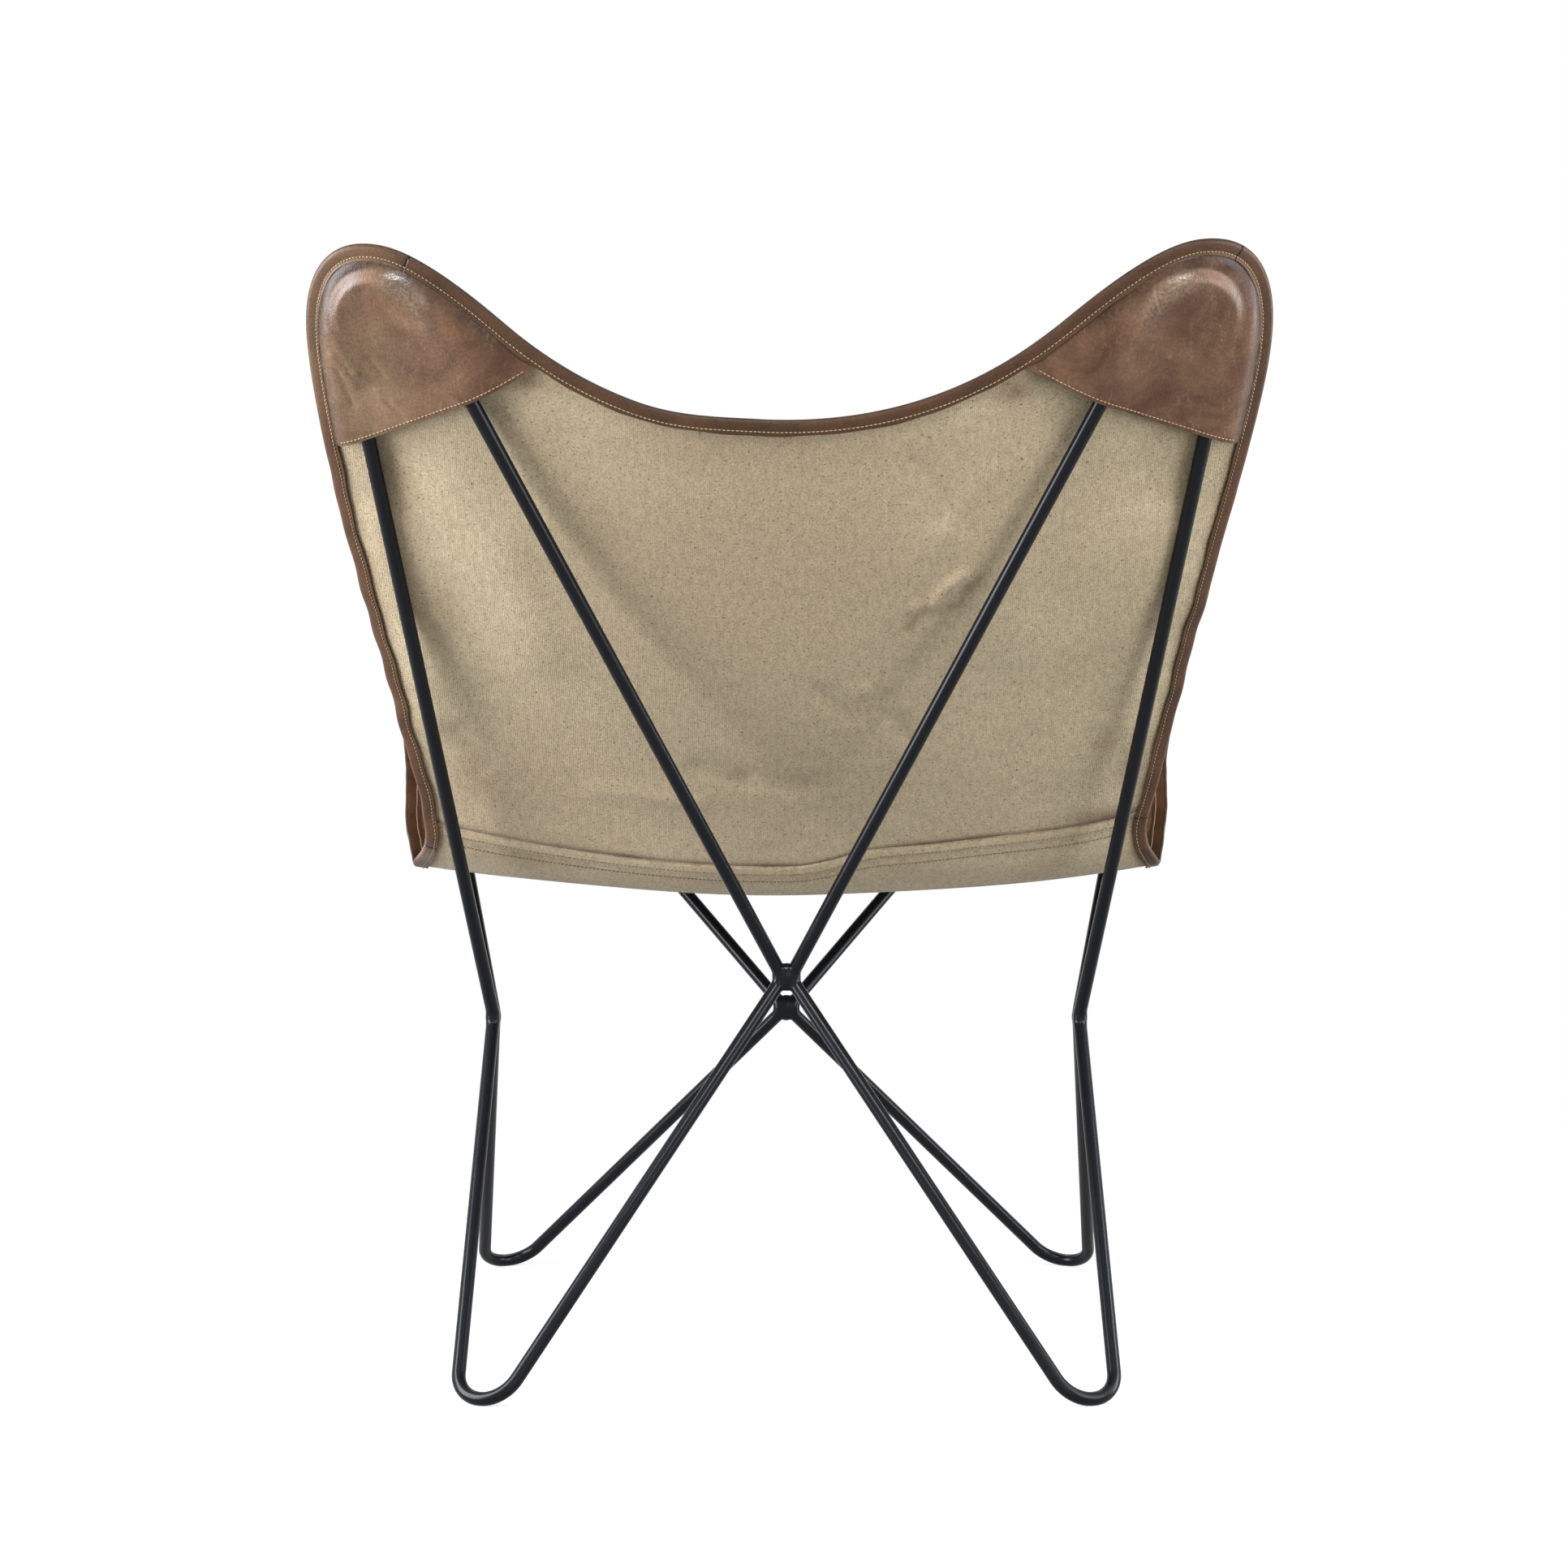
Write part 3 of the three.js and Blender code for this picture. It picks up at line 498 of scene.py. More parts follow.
rear_quarter, REAR_MARKS = quarter_outline(REAR_DIP, CREASE_T)
front_quarter, FRONT_MARKS = quarter_outline(FRONT_DIP, FRONT_T - CREASE_T)
front_quarter = np.stack([front_quarter[:, 0], FRONT_T - front_quarter[:, 1]], axis=1)
OUTLINE = np.concatenate([rear_quarter, front_quarter[-2::-1]])
OUTLINE[:, 0] += FLARE * ramp(OUTLINE[:, 1], *FLARE_RISE) * ramp(OUTLINE[:, 1], *FLARE_FALL)
OUTLINE_S = run_length(OUTLINE)
HALF_EDGE = OUTLINE_S[-1]
outline_way = unit(np.gradient(OUTLINE, OUTLINE_S, axis=0))
OUTLINE_IN = np.stack([-outline_way[:, 1], outline_way[:, 0]], axis=1)
SIDE_SPAN = slice(int(np.argmax(OUTLINE[:, 0])), len(OUTLINE) - int(np.argmax(OUTLINE[::-1, 0])))


def uneven(x, t):
    """How the hand-cut sling differs from a symmetric one: its left shoulder is lower, its right peak
    reaches out further and is drawn in below, and its sides wave (two sines) where no bar holds them."""
    drop = LEFT_DROP * ramp(x, 20, 110) * (1 - 0.5 * ramp(x, 250, 330)) * ramp(t, 240, 110)
    reach = RIGHT_REACH * ramp(t, 200, 60) - RIGHT_TUCK * bell((t - 280) / 70)
    hand = np.sign(x)
    wave = np.sin(t / 7.3 + hand) + 1.3 * np.sin(t / 17.1 + 2 * hand)
    free = ramp(np.abs(x), 200, 260) * ramp(t, 150, 210) * ramp(t, 550, 490)
    sway = hand * np.where(x > 0, LEFT_WAVE, RIGHT_WAVE) * wave * free
    return np.stack([x - ramp(-x, 180, 300) * reach + sway, t + drop], axis=-1)


def left_half(s):
    """The same length of edge on the left half, and 1 for a place on that half or -1 for the right."""
    right = (s > HALF_EDGE) | (s < 0)
    return np.where(s > HALF_EDGE, 2 * HALF_EDGE - s, np.abs(s)), np.where(right, -1.0, 1.0)


def edge_at(s, depth=0.0):
    """Place (x, t) on the flat cut at length s along the edge from the middle of the top, and depth
    in from it. The left half has s above 0, the right half below 0 or past the front's middle."""
    own, hand = left_half(np.asarray(s, dtype=float))
    place = [np.interp(own, OUTLINE_S, OUTLINE[:, k]) for k in (0, 1)]
    inward = [np.interp(own, OUTLINE_S, OUTLINE_IN[:, k]) for k in (0, 1)]
    return uneven(hand * (place[0] + depth * inward[0]), place[1] + depth * inward[1])


def side_length(t):
    """Length along the left edge at which its side passes t."""
    return np.interp(t, OUTLINE[SIDE_SPAN, 1], OUTLINE_S[SIDE_SPAN])


def side_x(t):
    """How far the sling's side is from its middle line at t."""
    return np.interp(t, OUTLINE[SIDE_SPAN, 1], OUTLINE[SIDE_SPAN, 0])


def relief(x, t):
    """Small unevenness of the used sling: soft crossed waves and a flutter of the free side edges
    (three sines that fade inwards), both gone at the pockets, where the bars hold the sheet, and each
    crease as a bell across a short line."""
    free = ramp(t, 150, 240) * ramp(FRONT_T - t, 150, 240)
    hand = np.sign(x)
    flutter = np.sin(t / 24 + 1.1 * hand) + 0.7 * np.sin(t / 13.3 + 2.0 + 0.7 * hand)
    flutter = (flutter + 0.35 * np.sin(t / 6.1 + hand)) * bell((side_x(t) - np.abs(x)) / FLUTTER_REACH)
    wave = np.sin(x / 61 + t / 83 + 0.4) * np.sin(t / 57 - x / 140 + 1.2)
    height = free * (FLUTTER * flutter + SOFT_WAVE * wave)
    for x0, t0, x1, t1, width, rise in CREASES:
        run_x, run_t = x1 - x0, t1 - t0
        share = np.clip(((x - x0) * run_x + (t - t0) * run_t) / (run_x ** 2 + run_t ** 2), 0, 1)
        away = np.hypot(x - x0 - share * run_x, t - t0 - share * run_t)
        height = height + rise * bell(away / width)
    return height


def sheet_frame(x, t):
    """Points of the sling's middle surface and its normals on the sitter's side: the profile line in
    (y, z) carried across x, raised by bow x^2 at its sides."""
    heading = np.interp(t, REACH, HEADING)
    up_y, up_z = np.sin(heading), -np.cos(heading)
    end_bow = np.where(t < CREASE_T, REAR["bow"], FRONT["bow"])
    bow = CREASE_BOW + (end_bow - CREASE_BOW) * ramp(np.abs(t - CREASE_T), 0, BOW_BLEND)
    line_y, line_z = (np.interp(t, REACH, PROFILE[:, k]) for k in (0, 1))
    rise = bow * x * x
    base = np.stack([x, line_y + up_y * rise, line_z + up_z * rise], axis=-1)
    return base, unit(np.stack([-2 * bow * x, up_y, up_z], axis=-1))


def sheet(place, h):
    """Points at places (x, t) of the sling, h above its middle surface on the sitter's side."""
    x, t = place[..., 0], place[..., 1]
    base, normal = sheet_frame(x, t)
    return base + normal * (h + relief(x, t))[..., None]


def seam_at(x, shift=0.0):
    """Place of the crease seam: a sagging line, drawn up a little on the right where it was sewn
    askew, moved by shift along t."""
    right = ramp(-x, 5, 80) * (1 - 0.35 * ramp(-x, 150, 260))
    t = SEAM_END + SEAM_SAG * (1 - (x / SEAM_HALF) ** 2) - SEAM_SKEW * right + shift
    return np.stack([x, t], axis=-1)


SEAM_S = side_length(SEAM_END)
SEAM_HALF = edge_at(SEAM_S, PANEL_INSET)[0]
REAR_CORNER_S = (REAR_MARKS[1] + REAR_MARKS[2]) / 2
FRONT_CORNER_S = HALF_EDGE - (FRONT_MARKS[1] + FRONT_MARKS[2]) / 2


def panel_places(end_s, corner_s, shift):
    """Grid of places blended from its four edges: an end of the outline from right to left, the two
    sides, and the seam (the sum of both ruled surfaces less the corners' bilinear one)."""
    u = np.linspace(0, 1, PANEL_COLUMNS)[None, :, None]
    v = np.linspace(0, 1, PANEL_ROWS)[:, None, None]
    end = edge_at(np.linspace(*end_s, PANEL_COLUMNS), PANEL_INSET)
    seam = seam_at(np.linspace(-SEAM_HALF, SEAM_HALF, PANEL_COLUMNS), shift)
    left = edge_at(np.linspace(corner_s, side_length(seam[-1, 1]), PANEL_ROWS), PANEL_INSET)
    right = edge_at(-np.linspace(corner_s, side_length(seam[0, 1]), PANEL_ROWS), PANEL_INSET)
    seam[0], seam[-1] = right[-1], left[-1]
    ruled = (1 - v) * end[None] + v * seam[None] + (1 - u) * right[:, None] + u * left[:, None]
    return ruled - (1 - v) * ((1 - u) * end[0] + u * end[-1]) - v * ((1 - u) * seam[0] + u * seam[-1])


def flat_area(places):
    """Area in square metres of a grid of places laid flat: the sum of half the cross products of
    each cell's diagonals."""
    a = places[1:, 1:] - places[:-1, :-1]
    b = places[1:, :-1] - places[:-1, 1:]
    return float(np.abs(a[..., 0] * b[..., 1] - a[..., 1] * b[..., 0]).sum() / 2 * MM * MM)


def flat_size(places):
    """Width and length in metres of a cut laid flat."""
    return tuple((np.ptp(places.reshape(-1, 2), axis=0) * MM).tolist())


def give_wall(piece, thickness, edge=0.0):
    """Thickness on the side that the faces point to, with the cut edges broken where edge is given."""
    wall = piece.modifiers.new("thickness", "SOLIDIFY")
    wall.thickness = thickness * MM
    wall.offset = 1.0
    wall.use_even_offset = True
    if edge:
        cut = piece.modifiers.new("cut edge", "BEVEL")
        cut.width = edge * MM
        cut.segments = 2
        cut.limit_method = "ANGLE"
        cut.angle_limit = CUT_ANGLE


def hide(name, colours, roughness, streaky):
    """Vegetable-tanned, waxed cattle hide. It gives a pore grain of about 1.2 mm, cloudy pull-up where the
    wax has moved, fine stretch lines and scratches. Attributes of the mesh say where it is worn pale and
    shiny (wear, which below 0 is painted shade that takes the reflection away), stretched pale (pull), and
    lighter or darker (tone, which holds marks of use and also painted shade)."""
    material, tree, shader = new_finish(name)
    deep, main, pale = (linear(code) for code in colours)
    place = node(tree, "UVMap", uv_map="cut")
    worn, tone, pull = (
        node(tree, "Attribute", out="Fac", attribute_name=key) for key in ("wear", "tone", "pull"))
    cloud = node(tree, "TexNoise", {
        "Vector": place, "Scale": per_metre(42), "Detail": 5.0, "Roughness": 0.62, "Distortion": 0.6})
    drawn = node(tree, "Mapping", {
        "Vector": place, "Rotation": (0, 0, radians(28)), "Scale": (1.0, 0.32, 1.0)})
    streak = node(tree, "TexNoise", {
        "Vector": drawn, "Scale": per_metre(7), "Detail": 5.0, "Roughness": 0.7, "Distortion": 1.2})
    pores = node(tree, "TexVoronoi", {"Vector": place, "Scale": per_metre(1.2), "Randomness": 1.0})
    fine = node(tree, "TexNoise", {
        "Vector": place, "Scale": per_metre(2.4), "Detail": 4.0, "Roughness": 0.65})
    lined = node(tree, "Mapping", {
        "Vector": place, "Rotation": (0, 0, radians(-36)), "Scale": (1.0, 0.14, 1.0)})
    lines = node(tree, "TexNoise", {
        "Vector": lined, "Scale": per_metre(2.2), "Detail": 3.0, "Distortion": 0.8})
    cloudy = node(tree, "MapRange", {
        "Value": cloud, "From Min": 0.32, "From Max": 0.68}, interpolation_type="SMOOTHSTEP")
    shade = node(tree, "Mix", {SHARE: cloudy, FIRST: deep, SECOND: main}, data_type="RGBA")
    rubbed = node(tree, "MapRange", {
        "Value": streak, "From Min": 0.54, "From Max": 0.78, "To Max": streaky,
    }, interpolation_type="SMOOTHSTEP")
    streaked = node(tree, "Mix", {SHARE: rubbed, FIRST: shade, SECOND: pale}, data_type="RGBA")
    scuffs = node(tree, "MapRange", {"Value": fine, "From Min": 0.4, "From Max": 0.7, "To Max": 0.5})
    patchy = node(tree, "Math", {0: worn, 1: scuffs}, operation="MULTIPLY")
    drawn_up = node(tree, "Math", {0: pull, 1: patchy}, operation="ADD", use_clamp=True)
    paled = node(tree, "Mix", {SHARE: drawn_up, FIRST: streaked, SECOND: pale}, data_type="RGBA")
    specks = node(tree, "MapRange", {
        "Value": fine, "From Min": 0.3, "From Max": 0.62, "To Min": 0.78, "To Max": 1.06})
    lit = node(tree, "Math", {0: specks, 1: tone}, operation="ADD")
    colour = node(tree, "VectorMath", {0: paled, "Scale": lit}, operation="SCALE")
    dull = node(tree, "MapRange", {
        "Value": cloud, "From Min": 0.3, "From Max": 0.7,
        "To Min": roughness - 0.07, "To Max": roughness + 0.1})
    shine = node(tree, "Math", {0: worn, 1: -0.2, 2: dull}, operation="MULTIPLY_ADD")
    polish = node(tree, "Math", {0: worn, 1: 0.6, 2: 0.18}, operation="MULTIPLY_ADD")
    grain = node(tree, "Bump", {"Strength": 0.32, "Distance": 0.3 * MM, "Height": pores})
    stretch = node(tree, "Bump", {
        "Strength": 0.22, "Distance": 0.6 * MM, "Height": lines, "Normal": grain})
    wire(tree, shader, {
        "Base Color": colour, "Roughness": shine, "Specular IOR Level": polish, "Normal": stretch})
    return material


HIDE_COLOURS = ("#53392a", "#70533e", "#948062")
SITTING_HIDE = hide("vegetable-tanned leather dulled by use", HIDE_COLOURS, 0.62, 0.5)
back_places = panel_places((-REAR_CORNER_S, REAR_CORNER_S), REAR_CORNER_S, -SEAM_GAP / 2)
seat_places = panel_places((2 * HALF_EDGE - FRONT_CORNER_S, FRONT_CORNER_S), FRONT_CORNER_S, SEAM_GAP / 2)
PANELS = {"back": back_places, "seat": seat_places[::-1]}
panel_faces = {flip: grid_faces(1, PANEL_ROWS, PANEL_COLUMNS, flip=flip) for flip in (False, True)}


def spot(places, x, t, wide, high):
    """Soft-edged spot of strength 1 at (x, t): a bell across its width times one along its height."""
    return bell((places[..., 0] - x) / wide) * bell((places[..., 1] - t) / high)


def sitting_wear(places):
    """Where sitters rub the hide: a broad patch on the seat, another where the shoulders lean."""
    return 0.4 * spot(places, 0, 760, 170, 150) + 0.3 * spot(places, 0, 250, 190, 120)


def crease_shade(places):
    """Painted shade along the sides of the seat, from the crease forwards, where little light reaches. It
    darkens the hide and takes its reflection away.
    """
    x, t = places[..., 0], places[..., 1]
    return ramp(np.abs(x), 200, 270) * ramp(t, 520, 580) * ramp(t, 980, 820)


for part, places in PANELS.items():
    # The mask called dirt here is painted shade along the crease, not dirt. It darkens the hide through
    # tone and takes its reflection away through wear below 0.
    rubbed, dirt = sitting_wear(places), crease_shade(places)
    piece = mesh_piece(
        part + "_leather_panel", sheet(places, FACE_GAP), panel_faces[True], SITTING_HIDE, "brown_leather",
        [part + "_leather"], uv=places, wear=0.2 * rubbed - 0.3 * dirt, pull=rubbed,
        tone=-0.05 - 0.25 * dirt)
    give_wall(piece, LEATHER)
    flat_size(places)
    flat_area(places)


# Canvas panels
# The back and under face is unbleached cotton canvas, 1 mm thick, cut to the same outline as the leather
# and caught in the same binding and seam. It is left undyed, and has soiled at its seams. Shade is also
# painted into it, along the seam and in broad spots.

# A wave texture of this scale repeats once in each unit of its coordinates.
WAVE_SCALE = 2 * np.pi / 20
# Spots as (x, t), width, height and strength, of soiling and of painted shade. The small ones near the
# pocket corners, low on the sides and on the seat are stains. The one at (304, 220) on the outer left
# strip, the three from (274, 408) to (255, 466) by the left outer bar, and the four broad ones at the end,
# over the middle, top, low middle and lower left, are painted shade. The rest only darken the canvas
# there.
SOIL_AND_SHADE_SPOTS = (
    (-167, 82, 15, 11, 0.8),
    (-196, 66, 22, 8, 0.7),
    (187, 77, 12, 8, 0.6),
    (-274, 450, 9, 18, 0.55),
    (-255, 500, 30, 8, 0.5),
    (262, 300, 8, 40, 0.3),
    (304, 220, 26, 110, 0.4),
    (60, 560, 60, 12, 0.1),
    (-90, 552, 70, 10, 0.08),
    (225, 540, 40, 14, 0.3),
    (20, 120, 110, 22, 0.28),
    (-118, 262, 16, 16, 0.2),
    (274, 408, 14, 14, 0.2),
    (256, 434, 13, 16, 0.26),
    (255, 466, 14, 18, 0.24),
    (35, 290, 165, 170, 0.24),
    (30, 170, 170, 70, 0.14),
    (40, 465, 220, 70, 0.18),
    (235, 475, 75, 60, 0.22),
)


def soil_on(places):
    """Darkening towards brown: a line along the seam that is stain and painted shadow of the seam, a faint
    band beside the binding, and soft-edged spots of soiling and of painted shade.
    """
    x, t = places[..., 0], places[..., 1]
    from_seam = t - seam_at(x)[..., 1]
    patchy = 0.6 + 0.25 * np.sin(x / 23 + 1) + 0.15 * np.sin(x / 9.1)
    soil = patchy * (1.1 * bell(from_seam / 3.2) + 0.15 * bell(from_seam / 14))
    soil = soil + 0.3 * bell((side_x(t) - np.abs(x) - 12) / 7)
    return np.clip(soil + sum(dark * spot(places, *where) for *where, dark in SOIL_AND_SHADE_SPOTS), 0, 1)


def cotton_canvas():
    """Unbleached cotton canvas in a plain weave. It gives a matt, felted face with dark husk flecks of 1
    to 3 mm, cloudy beige, and brown soiling mixed with painted shade. The 0.7 mm threads are drawn at 1.5
    mm so that they show."""
    material, tree, shader = new_finish("unbleached cotton canvas")
    place = node(tree, "UVMap", uv_map="cut")
    soil = node(tree, "Attribute", out="Fac", attribute_name="soil")
    thread = WAVE_SCALE * per_metre(1.5)
    warp, weft = (node(tree, "TexWave", {
        "Vector": place, "Scale": thread, "Distortion": 1.2, "Detail": 1.0, "Detail Scale": 2.0},
        out="Fac", bands_direction=way) for way in "XY")
    weave = node(tree, "Math", {0: warp, 1: weft}, operation="ADD")
    felt = node(tree, "TexNoise", {
        "Vector": place, "Scale": per_metre(1.8), "Detail": 3.0, "Roughness": 0.7})
    drawn = node(tree, "Mapping", {"Vector": place, "Scale": (1.0, 0.45, 1.0)})
    slubs = node(tree, "TexNoise", {
        "Vector": drawn, "Scale": per_metre(4.5), "Detail": 4.0, "Roughness": 0.6})
    blotch = node(tree, "TexNoise", {
        "Vector": place, "Scale": per_metre(60), "Detail": 5.0, "Roughness": 0.6})
    husk = node(tree, "TexNoise", {
        "Vector": place, "Scale": per_metre(2.6), "Detail": 2.0, "Roughness": 0.55})
    flecks = node(tree, "MapRange", {
        "Value": husk, "From Min": 0.62, "From Max": 0.69, "To Max": 0.8,
    }, interpolation_type="SMOOTHSTEP")
    clouds = node(tree, "MapRange", {
        "Value": blotch, "From Min": 0.3, "From Max": 0.7}, interpolation_type="SMOOTHSTEP")
    base = node(tree, "Mix", {
        SHARE: clouds, FIRST: linear("#a29275"), SECOND: linear("#ab9b7d")}, data_type="RGBA")
    flecked = node(tree, "Mix", {
        SHARE: flecks, FIRST: base, SECOND: linear("#6a5a44")}, data_type="RGBA")
    spread = node(tree, "MapRange", {
        "Value": blotch, "From Min": 0.35, "From Max": 0.6, "To Min": 0.5, "To Max": 1.0})
    # Soiling and painted shade both darken the canvas towards brown here.
    dirt = node(tree, "Math", {0: soil, 1: spread}, operation="MULTIPLY")
    soiled = node(tree, "Mix", {
        SHARE: dirt, FIRST: flecked, SECOND: linear("#5f4832")}, data_type="RGBA")
    nap = node(tree, "MapRange", {
        "Value": felt, "From Min": 0.34, "From Max": 0.66, "To Min": 0.76, "To Max": 1.19})
    uneven_nap = node(tree, "MapRange", {
        "Value": slubs, "From Min": 0.32, "From Max": 0.68, "To Min": 0.88, "To Max": 1.14})
    shade = node(tree, "Math", {0: nap, 1: uneven_nap}, operation="MULTIPLY")
    colour = node(tree, "VectorMath", {0: soiled, "Scale": shade}, operation="SCALE")
    threads = node(tree, "Bump", {"Strength": 0.3, "Distance": 0.4 * MM, "Height": weave})
    fuzz = node(tree, "Bump", {
        "Strength": 0.5, "Distance": 0.8 * MM, "Height": felt, "Normal": threads})
    wire(tree, shader, {
        "Base Color": colour, "Normal": fuzz, "Roughness": 0.92, "Specular IOR Level": 0.2,
        "Sheen Weight": 0.12})
    return material


CLOTH = cotton_canvas()
for part, places in PANELS.items():
    piece = mesh_piece(
        part + "_canvas_panel", sheet(places, -FACE_GAP), panel_faces[False], CLOTH, "beige_canvas",
        [part + "_canvas"], uv=places, soil=soil_on(places))
    give_wall(piece, CANVAS)
    flat_size(places)
    flat_area(places)


# Seam fell
# Under the crease the two canvas panels are joined with a felled seam: the seat panel's edge is
# folded into a narrow ridge and sewn down over the back panel's edge.

CANVAS_BACK = -FACE_GAP - CANVAS
BINDING_WIDTH = 12.0
FELL_END = 3.0
FELL_COLUMNS = 260
# Closed section of the ridge: place beside the seam, and height from the canvas's back.
FELL_SECTION = np.array([
    (0.4, 0.05), (0.1, -0.5), (0.5, -1.0), (1.6, -1.4), (3.2, -1.4), (5.2, -1.3),
    (8.0, -1.2), (10.3, -1.05), (11.0, -0.6), (11.2, 0.05), (8.0, 0.1), (4.0, 0.1),
])

fell_half = SEAM_HALF - BINDING_WIDTH - FELL_END
fell_x = np.linspace(-fell_half, fell_half, FELL_COLUMNS)[:, None] + 0 * FELL_SECTION[:, 0]
pucker = 1 + 0.12 * np.sin(fell_x / 3.7) * np.sin(fell_x / 29 + 1) + 0.15 * np.sin(fell_x / 47)
fell_places = seam_at(fell_x)
fell_places[..., 1] += FELL_SECTION[:, 0]
fell_points = sheet(fell_places, CANVAS_BACK + FELL_SECTION[:, 1] * pucker)
fell_faces = grid_faces(1, FELL_COLUMNS, len(FELL_SECTION), wrap=True, capped=True, flip=True)
# The dark line on the fell's seam edge is stain and painted shadow of the seam, and the fell also darkens
# towards its ends.
fell_soil = 0.9 * bell(FELL_SECTION[:, 0] / 1.3) + ramp(np.abs(fell_x), fell_half - 8, fell_half)
mesh_piece(
    "seam_fell_ridge", fell_points, fell_faces, CLOTH, "beige_canvas", ["seat_seam_fell"],
    uv=fell_places, soil=fell_soil)


# Corner pockets
# Each corner has a patch of the same hide on the back, sewn into the binding round the peak and
# open at its hem. The bend of the bars sits in it, and the leather has stretched over the bars.

POCKET_WALL = 1.3
POCKET_RIM = 10.9
POCKET_SEAT = CANVAS_BACK - 0.1
POCKET_EDGE = 0.35
POCKET_COLUMNS = 170
POCKET_ROWS = 76
ROW_CROWD = 1.4
BAR_POINTS = 1600
BAR_REACH = 260.0
HEM_INNER = {"rear_left": 36.0, "rear_right": 45.0, "front_left": 36.0, "front_right": 36.0}
HEM_OUTER = 145.0
HEM_SHARE = (0.012, 0.988)
HEM_DROOP = 2.0
# How the leather falls from the bars to its rim, and sags between them.
RIDGE_SHARE = 0.62
RIDGE_REACH = 9.0
RIDGE_FADE = 30.0
POCKET_SAG = 1.6
SAG_REACH = 16.0
FALL_POWER = (1.5, 4.5)
FALL_SPANS = (60.0, 20.0)
# How much darker the whole patch is, and how much painted shade darkens its flank outside the tip, where
# the side light falls on it.
POCKET_SHADE = {"left": (0.04, 0.2), "right": (0.08, 0.05)}
# Where the left pocket has stretched pale: (x, t), width and height.
PULLED_SPOT = (306, 88, 34, 62)
PULLED = 0.34
# Marks of use on the hide as (x, t), width, height and change of tone: dark where wax has gathered
# and pale where the skin has stretched.
HIDE_MARKS = (
    (-236, 27, 14, 8, -0.2),
    (-258, 16, 12, 8, -0.18),
    (-212, 52, 22, 10, -0.12),
    (-296, 107, 12, 14, -0.1),
    (-282, 39, 22, 22, 0.06),
    (-330, 108, 5, 22, 0.16),
    (-316, 66, 8, 20, 0.08),
    (284, 75, 9, 26, 0.06),
    (304, 95, 14, 12, 0.08),
    (323, 122, 13, 18, 0.05),
    (318, 46, 16, 20, 0.04),
    (314, 80, 12, 9, -0.1),
    (252, 56, 24, 24, -0.12),
    (222, 48, 24, 18, -0.16),
)


def flat_bar(plane, path, way, start_t):
    """Centre line of a peak's bars as places (x, t) on the sling, cut off below the pocket. t is
    measured along way from the plane's middle point."""
    line = line_at(path, np.linspace(0, run_length(path)[-1], BAR_POINTS))
    x = line[:, 0] * (1 - 2 * plane["bow"] * BAR_STANDOFF)
    t = start_t + (line[:, 1:] - plane["middle"]) @ way
    return np.stack([x, t], axis=1)[np.abs(t - start_t) < BAR_REACH]


def nearest(places, line):
    """Distance from each place to the nearest point of a line."""
    flat = places.reshape(-1, 1, 2)
    return np.linalg.norm(flat - line[None], axis=2).min(axis=1).reshape(places.shape[:-1])


def pocket_height(places, corner):
    """Height of a pocket's inner face, and the distances to the bar, the rim and below the tip. Outside
    the bars it falls to its seat at the rim, as a power of its share of the way that is late where the
    way is short, and round the tip partly as a steep step beside the bar. Between the bars it sags."""
    plane, bar, rim, down, side = (corner[key] for key in ("plane", "bar", "rim", "down", "side"))
    to_bar, to_rim = nearest(places, bar), nearest(places, rim)
    base, normal = sheet_frame(places[..., 0] * side, places[..., 1])
    behind = (base - plane["tip"]) @ plane["normal"] + BAR_R + BAR_GAP
    on_bar = -behind / (normal @ plane["normal"])
    tip = int(np.argmin(bar[:, 1] * down))
    from_tip = (places[..., 1] - bar[tip, 1]) * down
    span = to_bar + to_rim
    power = FALL_POWER[0] + (FALL_POWER[1] - FALL_POWER[0]) * ramp(span, *FALL_SPANS)
    share = RIDGE_SHARE * bell(from_tip / RIDGE_FADE)
    step = ramp(to_bar, 0, np.minimum(RIDGE_REACH, span))
    fall = (1 - share) * (to_bar / span) ** power + share * step
    outside = on_bar + (POCKET_SEAT - on_bar) * fall
    between = on_bar + POCKET_SAG * (1 - bell(to_bar / SAG_REACH))
    x, inner, outer = side * places[..., 0], bar[:tip + 1], bar[tip:]
    order = np.argsort(inner[:, 1] * down)
    depth = places[..., 1] * down
    inner_x = np.interp(depth, inner[order, 1] * down, side * inner[order, 0])
    outer_x = np.interp(depth, outer[:, 1] * down, side * outer[:, 0])
    inside = (from_tip > 0) & (x > inner_x) & (x < outer_x)
    return np.where(inside, between, outside), to_bar, to_rim, from_tip


def hem_at(corner, share, back=0.0):
    """Place on a pocket's hem at a share of its length, moved back from the edge into the pocket. The
    hem droops between its ends as a half sine."""
    first, last = corner["rim"][0], corner["rim"][-1]
    share = np.asarray(share)[..., None]
    run = unit(last - first)
    inward = np.array([run[1], -run[0]]) * corner["side"] * corner["down"]
    return first + (last - first) * share + inward * (back - HEM_DROOP * np.sin(np.pi * share))


def hide_tone(places):
    """Change of brightness from the marks, each a soft-edged spot."""
    return sum(change * spot(places, *where) for *where, change in HIDE_MARKS)


